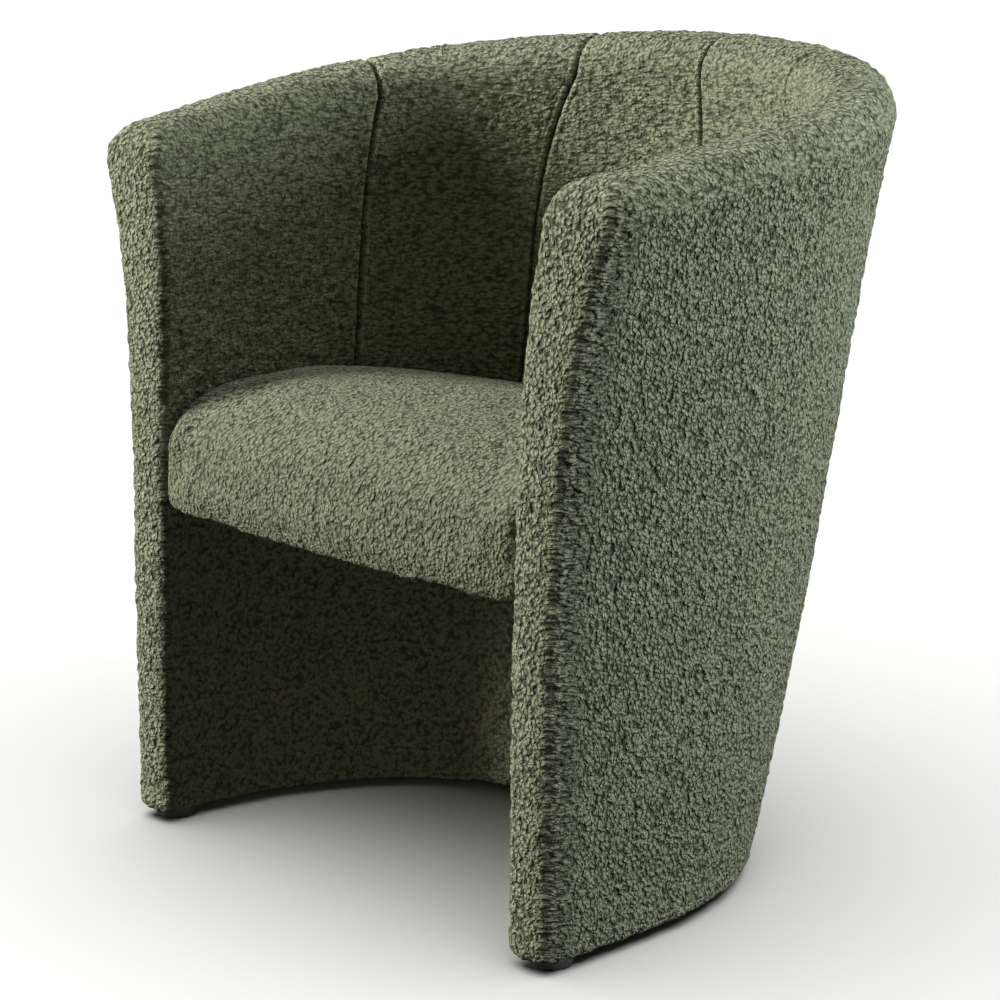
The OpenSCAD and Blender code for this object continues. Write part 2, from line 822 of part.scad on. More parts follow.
// Seat outline as closed loops. front_inset and side_inset shrink it,
// and the front part of a loop can lie lower than its sides.
front_points = 8;
seat_step = 1.5;
function seat_loop(side_inset, front_inset, side_z, front_z) =
    let (
        s_front = share_at(side_z, 1),
        y_end = seat_front_y + front_inset + seat_corner_r,
        x_end = arm_x(s_front, wall(s_front) + seat_gap + side_inset, y_end),
        x_flat = x_end - seat_corner_r,
        sides = [
            for (u = all_u)
            let (
                s = share_at(side_z, u),
                p = plan(s, wall(s) + seat_gap + side_inset, u, y_end + seat_step - front_y(s))
            )
            [p.x, p.y, side_z]
        ],
        right = [
            for (a = [0, 30, 60])
            [x_flat + seat_corner_r*cos(a), y_end - seat_corner_r*sin(a), front_z]
        ],
        front = [
            for (i = [0:front_points])
            let (f = 1 - 2*i/front_points)
            [x_flat*f, y_end - seat_corner_r - seat_bow*(1 - f*f), front_z]
        ],
        left = [
            for (a = [60, 30, 0])
            [-x_flat - seat_corner_r*cos(a), y_end - seat_corner_r*sin(a), front_z]
        ]
    )
    concat(sides, right, front, left);

seat_centre = [0, (seat_front_y + deck_hole_back_y)/2];
ring_shares = [0.8, 0.55, 0.3];
seat_bulge = 3;
// Power of the curve in which the seat's top falls to the back
fall_power = 1.2;

// The soft edge ends where its slope runs on into the crown
seat_edge_turn = 75;

// Loops of the seat's top from its lower edge to the crown, d inside the cloth's face
function seat_edge_loop(a, d) =
    let (z = seat_shoulder_z + (seat_edge_z - seat_shoulder_z - d)*sin(a), curve = 1 - cos(a))
    seat_loop(mix(d, seat_side_r, curve), mix(d - seat_bulge*cos(a), seat_front_r, curve), z, z);
function seat_sink(y) =
    let (share = (y - seat_fall_front_y)/(seat_fall_back_y - seat_fall_front_y))
    seat_fall*pow(min(max(share, 0), 1), fall_power);
function sunk(p, share) = [p.x, p.y, p.z - share*seat_sink(p.y)];
function seat_top(d, side_z, front_z, steps) =
    let (edge = seat_edge_loop(seat_edge_turn, d))
    concat(
        [for (i = [0:steps - 1])
            let (f = i/steps)
            seat_loop(d, d - seat_bulge*f, mix(side_z, seat_shoulder_z, f), mix(front_z, seat_shoulder_z, f))],
        [for (i = [0:edge_rows])
            let (a = seat_edge_turn*i/edge_rows)
            [for (p = seat_edge_loop(a, d)) sunk(p, sin(a))]],
        [for (q = ring_shares)
            [for (p = edge)
                sunk([mix(seat_centre.x, p.x, q), mix(seat_centre.y, p.y, q), p.z + seat_crown*(1 - q*q)], 1)]]
    );
function crown_point(d) =
    sunk([seat_centre.x, seat_centre.y, seat_edge_loop(seat_edge_turn, d)[0].z + seat_crown], 1);

module seat_foam() {
    d = cloth_t + fit;
    color("lightyellow")
    dome(seat_top(d, foam_z, foam_z, 1), [seat_centre.x, seat_centre.y, foam_z], crown_point(d));
}

module seat_cover() {
    face = seat_top(0, tuck_z, seat_z, 2);
    back = seat_top(cloth_t, tuck_z, seat_z, 2);
    n = len(face[0]);
    rows = len(face);
    half = rows*n + 1;
    function id(side, r, c) = side*half + r*n + c%n;
    color("darkolivegreen")
    polyhedron(
        points = concat(
            [for (row = face, p = row) p], [crown_point(0)],
            [for (row = back, p = row) p], [crown_point(cloth_t)]
        ),
        faces = [
            for (r = [0:rows - 2], c = [0:n - 1]) each concat(
                quad(id(0, r, c), id(0, r, c + 1), id(0, r + 1, c + 1), id(0, r + 1, c)),
                quad(id(1, r, c), id(1, r + 1, c), id(1, r + 1, c + 1), id(1, r, c + 1))
            ),
            for (c = [0:n - 1]) each concat(
                quad(id(0, 0, c), id(1, 0, c), id(1, 0, c + 1), id(0, 0, c + 1)),
                [[half - 1, id(0, rows - 1, c), id(0, rows - 1, c + 1)]],
                [[2*half - 1, id(1, rows - 1, c + 1), id(1, rows - 1, c)]]
            )
        ],
        convexity = 10
    );
}

module front_roll() {
    d = cloth_t + fit;
    loop = seat_loop(d, d, deck_top_z, deck_top_z);
    line = [for (p = loop) if (p.y < rail_front_y - fit) [p.x, p.y]];
    xs = [for (p = line) p.x];
    color("lightyellow")
    translate([0, 0, rail_z])
    linear_extrude(foam_z - fit - rail_z)
    polygon(concat(line, [[min(xs), rail_front_y - fit], [max(xs), rail_front_y - fit]]));
}

// Cloth

module outer_cover() {
    turns = [30, 60, 90];
    stations = concat(
        [for (i = [2:-1:0]) [-1, turns[i]]],
        [for (u = all_u) [u, 0]],
        [for (a = turns) [1, a]]
    );
    function sheet(d) = [
        for (r = [0:wall_rows])
        [for (c = stations)
            let (
                s = r/wall_rows,
                k = corner(s),
                end = plan(s, 0, c[0], k),
                z = hem_z + s*(rise(c[0], d, k) - fit),
                side = sign(c[0])
            )
            c[1] == 0
            ? [each plan(s, d, c[0], k), z]
            : [end.x - side*(k - (k - d)*cos(c[1])), front_y(s) + k - (k - d)*sin(c[1]), z]]
    ];
    color("darkolivegreen")
    slab(turned(sheet(0)), turned(sheet(cloth_t)));
}

module arm_facing() {
    angles = [for (a = edge_angles) if (a > 0) a];
    color("olivedrab")
    slab(arm_front(0, hem_z, angles), arm_front(cloth_t, hem_z, angles));
}

// The inside cloth is sewn from panels and turns over the rim
seam_us = function(s)
    let (
        bend = pow(s, seam_power),
        a = mix(seat_seam_shares[0], rim_seam_shares[0], bend),
        b = mix(seat_seam_shares[1], rim_seam_shares[1], bend)
    )
    [-1, -b, -a, 0, a, b, 1];
panel_count = 6;
panel_shares = [0, 0.08, 0.35, 0.65, 0.92];
panel_stations = concat([for (k = [0:panel_count - 1], f = panel_shares) [k, f]], [[panel_count - 1, 1]]);
function panel_u(c, s) = mix(seam_us(s)[c[0]], seam_us(s)[c[0] + 1], c[1]);
function puff(f) = 1 - pow(abs(2*f - 1), 4);

module inner_cover() {
    face_of = function(s) wall(s);
    back_of = function(s) wall(s) - cloth_t;
    function seamed_row(r) = [
        for (c = panel_stations)
        let (u = panel_u(c, r/wall_rows), s = share_over(tuck_z, u, face_of, r))
        on_wall(s, wall(s) - seam_d*(1 - puff(c[1])), u, fit)
    ];
    function plain_row(r) = [
        for (u = all_u)
        let (s = share_over(tuck_z, u, back_of, r))
        on_wall(s, back_of(s), u, cloth_t + fit)
    ];
    function edge_row(a, d, inner, us) = [
        for (u = us)
        on_wall(1, inner ? wall(1) - edge_in(a, d) : edge_in(a, d), u, edge_in(a, d) + fit, edge_lift(a, d))
    ];
    function over_rim(d, us) = concat(
        [for (i = [1:edge_rows]) edge_row(edge_angles[i], d, true, us)],
        [for (i = [edge_rows:-1:0]) edge_row(edge_angles[i], d, false, us)]
    );
    rim_us = [for (c = panel_stations) panel_u(c, 1)];
    color("darkolivegreen")
    slab(
        concat([for (r = [0:wall_rows]) seamed_row(r)], over_rim(0, rim_us)),
        concat([for (r = [0:wall_rows]) plain_row(r)], over_rim(cloth_t, all_u))
    );
}

module alcove_cover() {
    color("darkolivegreen")
    alcove_sheet(0, cloth_t, hem_z);
}

module seat_lining() {
    front = rail_front_y - fit;
    rim = [for (i = [-half_cols:half_cols]) alcove(90*i/half_cols, -fit)];
    color("black")
    translate([0, 0, rail_z - lining_t])
    linear_extrude(lining_t)
    intersection() {
        polygon(rim);
        translate([-reach, front])
            square([2*reach, reach]);
    }
}

module base_lining() {
    outer = [for (u = all_u) plan(share_at(base_z, u), wadding_in, u, front_in)];
    inner = [
        for (i = [-half_cols:half_cols])
        let (p = alcove(90*i/half_cols, cloth_t + fit))
        [p.x, max(p.y, foot_front_y + front_in)]
    ];
    color("black")
    difference() {
        translate([0, 0, base_z - lining_t])
            flat_rib(outer, inner, lining_t);
        for (p = glide_places)
            translate([p.x, p.y, base_z - lining_t - overrun])
                cylinder(d = hole_d, h = lining_t + 2*overrun);
    }
}

// Glides and fasteners

glide_h = base_z - lining_t;
front_glide_x = foot_half_w - front_glide_in;
front_glide_y = foot_front_y + front_glide_back;
rear_glide_y = foot_centre_y + foot_back_d - rear_glide_in;
glide_places = [
    [-front_glide_x, front_glide_y], [front_glide_x, front_glide_y],
    [-rear_glide_x, rear_glide_y], [rear_glide_x, rear_glide_y]
];
glide_well_h = glide_h/2;

module glide(i) {
    r = glide_d/2;
    well_r = head_d/2 + fit;
    color("black")
    translate([glide_places[i].x, glide_places[i].y, 0])
    rotate_extrude()
    polygon(concat(
        [[screw_d/2 + fit/2, glide_h], [screw_d/2 + fit/2, glide_well_h], [well_r, glide_well_h], [well_r, 0]],
        [for (a = [-90:30:0]) [r - glide_edge_r + glide_edge_r*cos(a), glide_edge_r + glide_edge_r*sin(a)]],
        [[r, glide_h]]
    ));
}

module glide_screws() {
    color("silver")
    for (p = glide_places)
        translate([p.x, p.y, glide_well_h]) {
            cylinder(d = screw_d, h = glide_screw_l);
            translate([0, 0, -head_h])
                cylinder(d = head_d, h = head_h);
        }
}

module frame_screws() {
    color("silver")
    for (p = foot_screws)
        translate([p.x, p.y, base_z])
            screw(screw_l);
}

module rail_screws() {
    color("silver")
    both()
        rail_screw_places()
        screw(screw_l);
}

base_rib();
seat_rib();
rim_rib();
left() arm_former();  // arm_former_left
arm_former();  // arm_former_right
left() former(90);  // side_former_left
former(90);  // side_former_right
left() former(rear_former_angle);  // rear_former_left
former(rear_former_angle);  // rear_former_right
former(0);  // back_former
front_rail();
left() side_rail();  // side_rail_left
side_rail();  // side_rail_right
back_rail();
corner_blocks();
seat_deck();
seat_springs();
spring_clips();
spring_felt();
outer_board();
inner_board();
alcove_board();
outer_wadding();
back_foam();
rim_foam();
left() arm_pad();  // arm_pad_left
arm_pad();  // arm_pad_right
front_roll();
seat_foam();
outer_cover();
inner_cover();
left() arm_facing();  // arm_facing_left
arm_facing();  // arm_facing_right
alcove_cover();
seat_cover();
seat_lining();
base_lining();
glide(0);  // glide_front_left
glide(1);  // glide_front_right
glide(2);  // glide_rear_left
glide(3);  // glide_rear_right
glide_screws();
frame_screws();
rail_screws();
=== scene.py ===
# A tub-shaped club chair in looped sage-green cloth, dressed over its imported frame.
import math
import bpy
import numpy as np
from mathutils import Matrix, Vector


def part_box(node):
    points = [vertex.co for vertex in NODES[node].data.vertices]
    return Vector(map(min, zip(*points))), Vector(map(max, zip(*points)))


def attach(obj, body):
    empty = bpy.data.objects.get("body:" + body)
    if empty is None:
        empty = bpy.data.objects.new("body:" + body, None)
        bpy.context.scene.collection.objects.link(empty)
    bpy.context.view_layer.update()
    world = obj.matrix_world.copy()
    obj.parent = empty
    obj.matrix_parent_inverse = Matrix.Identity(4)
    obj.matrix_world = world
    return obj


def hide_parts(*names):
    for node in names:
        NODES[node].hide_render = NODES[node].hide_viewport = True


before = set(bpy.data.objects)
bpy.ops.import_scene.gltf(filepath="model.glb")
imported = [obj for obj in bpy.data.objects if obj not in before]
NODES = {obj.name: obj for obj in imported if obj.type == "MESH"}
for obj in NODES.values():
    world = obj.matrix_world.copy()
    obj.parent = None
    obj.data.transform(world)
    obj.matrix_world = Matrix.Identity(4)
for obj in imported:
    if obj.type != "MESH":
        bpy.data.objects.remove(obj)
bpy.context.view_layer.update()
scene = bpy.context.scene

# ---------------------------------------------------------------- camera
# The photograph is taken from the chair's front and its left arm, a little
# above the rim, with a long lens.
camera_data = bpy.data.cameras.new("camera")
camera_data.sensor_width = 36.0
camera_data.lens = 97.51
camera = bpy.data.objects.new("camera", camera_data)
scene.collection.objects.link(camera)
look = Vector((-0.68746, 0.68453, -0.24252)).normalized()
across = Vector((0.70560, 0.70861, 0.0)).normalized()
over = across.cross(look)
camera.matrix_world = Matrix.Translation((1.7836, -1.8357, 0.9640)) @ Matrix(
    (across, over, -look)).transposed().to_4x4()
scene.camera = camera

# ---------------------------------------------------------------- plywood frame
# Formers, ribs and the seat deck are cut from birch plywood, glued and screwed
# together. Their faces show the grain and their sawn edges the plies.
class Wire:
    """A socket of the material in hand, with shader maths as plain arithmetic."""

    def __init__(self, tree, socket):
        self.tree, self.socket = tree, socket

    def put(self, kind, inputs=None, out=0, **settings):
        """Adds a node, sets its settings and then its sockets, and gives one of its outputs."""
        node = self.tree.nodes.new("ShaderNode" + kind)
        for name, value in settings.items():
            setattr(node, name, value)
        for key, value in (inputs or {}).items():
            if isinstance(value, Wire):
                self.tree.links.new(value.socket, node.inputs[key])
            else:
                node.inputs[key].default_value = value
        return Wire(self.tree, node.outputs[out])

    def maths(self, operation, *values, clamp=False):
        return self.put("Math", dict(enumerate(values)), operation=operation, use_clamp=clamp)

    def __add__(self, other):
        return self.maths("ADD", self, other)

    def __sub__(self, other):
        return self.maths("SUBTRACT", self, other)

    def __rsub__(self, other):
        return self.maths("SUBTRACT", other, self)

    def __mul__(self, other):
        return self.maths("MULTIPLY", self, other)

    def __pow__(self, other):
        return self.maths("POWER", self, other)

    def __abs__(self):
        return self.maths("ABSOLUTE", self)

    __radd__ = __add__

    def clamp(self):
        return self.maths("ADD", self, 0.0, clamp=True)

    def most(self, other):
        return self.maths("MAXIMUM", self, other)

    def scaled(self, x, y, z):
        return self.put("VectorMath", {0: self, 1: (x, y, z)}, operation="MULTIPLY")

    def shifted(self, x, y, z):
        return self.put("VectorMath", {0: self, 1: (x, y, z)}, operation="ADD")

    def moved(self, other, amount):
        return self.put("VectorMath", {0: other, 1: (amount,) * 3, 2: self}, operation="MULTIPLY_ADD")

    def noise(self, per_metre, detail=0.0, rough=0.5, out=0):
        return self.put("TexNoise", {"Vector": self, "Scale": per_metre, "Detail": detail,
                                     "Roughness": rough}, out=out)

    def blend(self, low, high):
        """A colour between two others, this socket being the share of the second."""
        return self.put("Mix", {0: self, 6: low, 7: high}, out=2, data_type="RGBA")

    def bump(self, depth):
        return self.put("Bump", {"Distance": depth, "Height": self})


def new_material(name):
    """An empty material, its main shader and its Object coordinates."""
    material = bpy.data.materials.new(name)
    material.use_nodes = True
    tree = material.node_tree
    shader = tree.nodes["Principled BSDF"]
    place = Wire(tree, tree.nodes.new("ShaderNodeTexCoord").outputs["Object"])
    return material, shader, place


def feed(shader, name, wire):
    wire.tree.links.new(wire.socket, shader.inputs[name])


def rgb(r, g, b):
    return (r, g, b, 1.0)


def finish(nodes, material):
    """Gives CAD nodes their finish."""
    for node in nodes:
        NODES[node].data.materials.clear()
        NODES[node].data.materials.append(material)


PLY = 0.0028
GRAIN_LIGHT, GRAIN_DARK, PLY_DARK = rgb(0.66, 0.50, 0.31), rgb(0.50, 0.35, 0.20), rgb(0.34, 0.22, 0.12)


def plywood(name, across, stretch):
    """Birch plywood with its plies stacked along across, and grain drawn out by stretch."""
    material, shader, place = new_material(name)
    deep = place.put("VectorMath", {0: place, 1: across}, out="Value", operation="DOT_PRODUCT")
    normal = place.put("NewGeometry", out="Normal")
    facing = abs(place.put("VectorMath", {0: normal, 1: across}, out="Value", operation="DOT_PRODUCT"))
    sawn = (1 - facing * 1.6).clamp()
    plies = (deep * (1/PLY)).maths("PINGPONG", deep * (1/PLY), 1.0)
    grain = place.scaled(*stretch).noise(170.0, 4.0, 0.65)
    pores = place.scaled(*stretch).noise(900.0, 2.0, 0.6)
    face = (grain * 1.7 - 0.35).clamp().blend(GRAIN_LIGHT, GRAIN_DARK)
    edge = (plies * 1.6 - 0.3 + (pores - 0.5) * 0.8).clamp().blend(GRAIN_DARK, PLY_DARK)
    feed(shader, "Base Color", sawn.blend(face, edge))
    feed(shader, "Roughness", (grain * 0.2 + sawn * 0.15 + 0.45).clamp())
    feed(shader, "Normal", (pores + plies * sawn).bump(0.0003))
    return material


FLAT_GRAIN, UPRIGHT_GRAIN = (0.06, 1.0, 1.0), (1.0, 1.0, 0.06)
finish(("base_rib", "seat_rib", "rim_rib", "seat_deck"), plywood("plywood_flat", (0, 0, 1), FLAT_GRAIN))
finish(("arm_former_left", "arm_former_right", "side_former_left", "side_former_right"),
       plywood("plywood_cross", (0, 1, 0), UPRIGHT_GRAIN))
finish(("back_former",), plywood("plywood_back", (1, 0, 0), UPRIGHT_GRAIN))
SLANT = math.sqrt(0.5)
finish(("rear_former_left",), plywood("plywood_rear_left", (SLANT, SLANT, 0), UPRIGHT_GRAIN))
finish(("rear_former_right",), plywood("plywood_rear_right", (SLANT, -SLANT, 0), UPRIGHT_GRAIN))

# ---------------------------------------------------------------- seat rails
# The seat's rails and the blocks in their corners are planed beech, screwed
# through the arm formers. Short dark flecks run along the wood.


def beech(name, stretch):
    """Planed beech with its grain drawn out by stretch."""
    material, shader, place = new_material(name)
    long = place.scaled(*stretch)
    grain = long.noise(120.0, 4.0, 0.6)
    flecks = (long.noise(1300.0, 1.0, 0.5) * 5.0 - 3.1).clamp()
    tone = grain.blend(rgb(0.62, 0.42, 0.25), rgb(0.48, 0.29, 0.15))
    feed(shader, "Base Color", (flecks * 0.6).blend(tone, rgb(0.26, 0.13, 0.06)))
    feed(shader, "Roughness", (grain * 0.2 + 0.40).clamp())
    feed(shader, "Normal", (grain + flecks).bump(0.0002))
    return material


finish(("front_rail", "back_rail"), beech("beech_across", (0.05, 1.0, 1.0)))
finish(("side_rail_left", "side_rail_right"), beech("beech_lengthways", (1.0, 0.05, 1.0)))
finish(("corner_blocks",), beech("beech_upright", (1.0, 1.0, 0.05)))

# ---------------------------------------------------------------- springs, clips and screws
# Zigzag springs of drawn steel wire in bent clips, and zinc-plated screws with
# faint draw marks and a dull bloom.
material, shader, place = new_material("bright_steel")
bloom = place.noise(260.0, 3.0, 0.6)
marks = place.noise(2600.0, 1.0, 0.5)
feed(shader, "Base Color", bloom.blend(rgb(0.62, 0.62, 0.63), rgb(0.44, 0.44, 0.46)))
feed(shader, "Roughness", (bloom * 0.25 + marks * 0.10 + 0.20).clamp())
feed(shader, "Normal", marks.bump(0.00004))
shader.inputs["Metallic"].default_value = 1.0
finish(("seat_springs", "spring_clips", "glide_screws", "frame_screws", "rail_screws"), material)

# ---------------------------------------------------------------- spring felt
# A pad of pressed grey waste felt keeps the springs from wearing into the foam.
# It is cut to the deck's outline and lies loose over the springs.


def deselect():
    if bpy.context.object and bpy.context.object.mode != "OBJECT":
        bpy.ops.object.mode_set(mode="OBJECT")
    bpy.ops.object.select_all(action="DESELECT")


def only(obj):
    """Selects one object and makes it active."""
    deselect()
    obj.select_set(True)
    bpy.context.view_layer.objects.active = obj


def apply_last(obj):
    only(obj)
    bpy.ops.object.modifier_apply(modifier=obj.modifiers[-1].name)


def lumps(obj, name, size, height, group="", direction="NORMAL", middle=0.0):
    """Raises soft lumps of a size from a piece, or only from a vertex group of it."""
    texture = bpy.data.textures.new(name, "CLOUDS")
    texture.noise_scale = size
    texture.noise_depth = 1
    modifier = obj.modifiers.new(name, "DISPLACE")
    modifier.texture = texture
    modifier.texture_coords = "LOCAL"
    modifier.direction = direction
    modifier.strength = height
    modifier.mid_level = middle
    modifier.vertex_group = group
    apply_last(obj)


def cut_from(node, name, step=0.016):
    """A flat soft piece on the outline of its CAD node, cut into a grid so that it can undulate."""
    low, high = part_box(node)
    piece = bpy.data.objects.new(name, NODES[node].data.copy())
    scene.collection.objects.link(piece)
    only(piece)
    bpy.ops.object.mode_set(mode="EDIT")
    bpy.ops.mesh.select_all(action="SELECT")
    bpy.ops.mesh.remove_doubles(threshold=1e-6)
    bpy.ops.mesh.dissolve_limited(angle_limit=0.001)
    for axis in (0, 1):
        normal = [0, 0, 0]
        normal[axis] = 1
        for place in np.arange(low[axis] + step, high[axis], step):
            bpy.ops.mesh.select_all(action="SELECT")
            bpy.ops.mesh.bisect(plane_co=[place]*3, plane_no=normal)
    bpy.ops.object.mode_set(mode="OBJECT")
    return piece


def dress(obj, material, replaced):
    """Gives a piece its finish, smooth shading and body, and hides the CAD nodes that it stands for."""
    obj.data.materials.clear()
    obj.data.materials.append(material)
    only(obj)
    bpy.ops.object.shade_smooth_by_angle(angle=math.radians(60))
    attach(obj, "root")
    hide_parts(*replaced)


material, shader, place = new_material("pressed_felt")
fibres = place.moved(place.noise(300.0, 2.0, 0.6, out=1), 0.004).noise(1400.0, 2.0, 0.7)
flecks = place.put("TexVoronoi", {"Vector": place, "Scale": 260.0}, out="Color")
fleck = (place.noise(420.0, 1.0) * 6.0 - 3.6).clamp()
grey = fibres.blend(rgb(0.035, 0.036, 0.040), rgb(0.16, 0.16, 0.165))
feed(shader, "Base Color", (fleck * 0.5).blend(grey, flecks))
feed(shader, "Normal", fibres.bump(0.0008))
shader.inputs["Roughness"].default_value = 0.95
felt_pad = cut_from("spring_felt", "felt_pad")
lumps(felt_pad, "felt_swell", 0.035, 0.0006, direction="Z", middle=0.5)
dress(felt_pad, material, ("spring_felt",))

# ---------------------------------------------------------------- bent boards
# Hardboard, tempered brown and bent round the formers outside, inside and round
# the recess. Its face is smooth with a pressed fibre fleck.
material, shader, place = new_material("tempered_hardboard")
fibre = place.moved(place.noise(200.0, 2.0, 0.6, out=1), 0.006).noise(800.0, 3.0, 0.7)
cloudy = place.noise(14.0, 2.0)
pressed = (fibre * 0.7 + cloudy * 0.5 - 0.1).clamp()
feed(shader, "Base Color", pressed.blend(rgb(0.085, 0.042, 0.019), rgb(0.235, 0.125, 0.060)))
feed(shader, "Roughness", (fibre * 0.3 + 0.35).clamp())
feed(shader, "Normal", fibre.bump(0.0003))
finish(("outer_board", "inner_board", "alcove_board"), material)

# ---------------------------------------------------------------- outside cloth
# The outside of the arms and back is one width of looped cloth over wadding,
# drawn round the bent boards, turned under the frame and stapled there.
def loops_at(place, per_metre):
    """Height of the cloth's loops: two layers of bent, uneven beads with dark gaps, from about 0 to 1."""
    drift = place.noise(140.0, 2.0, 0.6, out=1).shifted(-0.5, -0.5, -0.5)
    bent = place.moved(drift, 0.007)
    low = bent.put("TexVoronoi", {"Vector": bent, "Scale": per_metre})
    high = bent.shifted(3.1, 1.7, 0.4)
    high = high.put("TexVoronoi", {"Vector": high, "Scale": per_metre * 0.8})
    uneven = place.noise(90.0, 0.0)
    fuzz = place.noise(900.0, 1.0, 0.6) - 0.5
    beads = (0.95 - low * low * 2.4).most((1.0 - high * high * 3.2) * (0.7 + uneven * 0.6))
    return beads * 0.85 + fuzz * 0.4


def looped_cloth(name, tip, shaded_pit, depth=0.0050, per_metre=225.0, contrast=1.2):
    """Looped woollen cloth, the gaps between its loops painted dark as shade. Its attribute lie turns the loops
    level, and its attribute shade adds painted shade or painted light.
    """
    material, shader, place = new_material(name)
    lie = place.put("Attribute", out=2, attribute_name="lie")
    shade = place.put("Attribute", out=2, attribute_name="shade")
    upright = loops_at(place, per_metre)
    level = loops_at(place.scaled(0.5, 0.5, 1.35), per_metre)
    loops = upright * (1 - lie) + level * lie
    broad = place.noise(18.0, 1.0) - 0.5
    # Tone from the loops' height: the gaps take the dark pit colour as painted shade between the loops
    tone = (loops.clamp() ** contrast + broad * 0.10 + shade).clamp()
    feed(shader, "Base Color", tone.blend(rgb(*shaded_pit), rgb(*tip)))
    feed(shader, "Normal", loops.bump(depth))
    shader.inputs["Roughness"].default_value = 0.95
    shader.inputs["Specular IOR Level"].default_value = 0.10
    shader.inputs["Sheen Weight"].default_value = 0.28
    shader.inputs["Sheen Roughness"].default_value = 0.55
    shader.inputs["Sheen Tint"].default_value = rgb(0.75, 0.80, 0.62)
    return material


SAGE = looped_cloth("sage_boucle", (0.56, 0.606, 0.405), (0.097, 0.104, 0.067))

# Curves of the shell, in metres. s is the share of the height from hem to rim,
# d an inset from the outside and e one from the front face. Up to TURN of the
# way from the middle of the back to an arm's front the plan is a rounded arc.
HEM, RIM_R, CLOTH_T = 0.013, 0.030, 0.004
ARM_H, BACK_H = 0.680, 0.760
TURN, FRONT_FOOT = 0.8, -0.2865


def through(foot, middle, rim, s):
    """The parabola through a value at the foot, one at half height and one at the rim."""
    return foot*(1 - s)*(1 - 2*s) + 4*middle*s*(1 - s) + rim*s*(2*s - 1)


def half_width(s):
    return 0.290 + 0.038*s + 0.0288*s**5


def back_depth(s):
    return through(0.278, 0.314, 0.328, s)


def centre_y(s):
    return through(-0.135, -0.071, -0.033, s)


def front_y(s):
    return FRONT_FOOT + 0.0208*s**2


def wall(s):
    return 0.0436 + 0.0296*s**4


def arm_x(s, d, y):
    w = (y - centre_y(s))/(front_y(s) - centre_y(s))
    return half_width(s) - d - (0.008 + 0.040*s - 0.020*s**5)*w*w


def plan(s, d, u, e=0.0):
    """Points in plan: u runs from -1 at one arm's front round the back to 1 at the other's."""
    s, d, u, e = np.broadcast_arrays(s, d, u, e)
    side = np.abs(u)
    angle = np.minimum(side/TURN, 1)*math.pi/2
    power = 2/(2.13 - 0.19*s)
    x = (half_width(s) - d)*np.sin(angle)**power
    y = centre_y(s) + (back_depth(s) - d)*np.maximum(np.cos(angle), 0)**power
    straight = centre_y(s) + (front_y(s) + e - centre_y(s))*(side - TURN)/(1 - TURN)
    y = np.where(side < TURN, y, straight)
    x = np.where(side < TURN, x, arm_x(s, d, straight))
    return np.sign(u)*x, y


RIM_SLOPE = (BACK_H - ARM_H)/(centre_y(1) + back_depth(1) - front_y(1))


def rim_z(y):
    return ARM_H + RIM_SLOPE*(y - front_y(1))


def rise(u, d=0.0, e=0.0):
    return rim_z(plan(1.0, d, u, e)[1]) - RIM_R - HEM


def on_wall(s, d, u, e=0.0, lift=0.0):
    x, y = plan(s, d, u, e)
    return np.stack([x, y, HEM + s*rise(u, d, e) + lift], axis=-1)


def even(path, steps):
    """Shares along a path, as even steps of its length: path gives points for shares from 0 to 1."""
    fine = np.linspace(0, 1, 2001)
    points = path(fine)
    length = np.concatenate([[0], np.cumsum(np.linalg.norm(np.diff(points, axis=0), axis=1))])
    return np.interp(np.linspace(0, length[-1], steps + 1), length, fine)


def sheet(cols, rows, place, turned=False):
    """A grid primitive with this many columns and rows of faces, laid where place puts each column and row.
    It is turned where its faces would point inwards."""
    deselect()
    bpy.ops.mesh.primitive_grid_add(x_subdivisions=cols, y_subdivisions=rows, size=2)
    obj = bpy.context.object
    co = np.empty(len(obj.data.vertices)*3)
    obj.data.vertices.foreach_get("co", co)
    grid = np.rint((co.reshape(-1, 3)[:, :2] + 1)/2*(cols, rows)).astype(int)
    obj.data.vertices.foreach_set("co", place(grid[:, 0], grid[:, 1]).ravel())
    if turned:
        only(obj)
        bpy.ops.object.mode_set(mode="EDIT")
        bpy.ops.mesh.select_all(action="SELECT")
        bpy.ops.mesh.flip_normals()
        bpy.ops.object.mode_set(mode="OBJECT")
    return obj, grid[:, 0], grid[:, 1]


def mark(obj, name, values):
    """Stores one number at each point of a mesh for its material to read."""
    layer = obj.data.attributes.new(name, "FLOAT", "POINT")
    layer.data.foreach_set("value", np.asarray(values, np.float32))


def close_with(face, back, name):
    """Joins a visible sheet and the coarser one behind it into one closed piece."""
    deselect()
    back.select_set(True)
    face.select_set(True)
    bpy.context.view_layer.objects.active = face
    bpy.ops.object.join()
    bpy.ops.object.mode_set(mode="EDIT")
    bpy.ops.mesh.select_mode(type="EDGE")
    bpy.ops.mesh.select_all(action="DESELECT")
    bpy.ops.mesh.select_non_manifold(extend=False, use_wire=False, use_boundary=True,
                                     use_multi_face=False, use_non_contiguous=False, use_verts=False)
    bpy.ops.mesh.bridge_edge_loops()
    bpy.ops.mesh.select_all(action="SELECT")
    bpy.ops.mesh.normals_make_consistent(inside=False)
    bpy.ops.object.mode_set(mode="OBJECT")
    face.name = face.data.name = name
    return face


# Radii of the arms' outer and inner front corners and of the hem's roll, how deep
# a cloth's end is tucked under its neighbour, and how much shade is painted into the pile at a corner
OUT_CORNER, IN_CORNER, HEM_R, TUCKED, CORNER_SHADE = 0.012, 0.008, 0.005, 0.0012, -0.22
HEM_TURN = 0.009
ROLL = np.linspace(math.pi/2, 0, 5)[:-1]
# Size and height of the cloth's soft swell and of its loops
SWELL, LOOPS = (0.070, 0.0020), (0.0075, 0.0042)


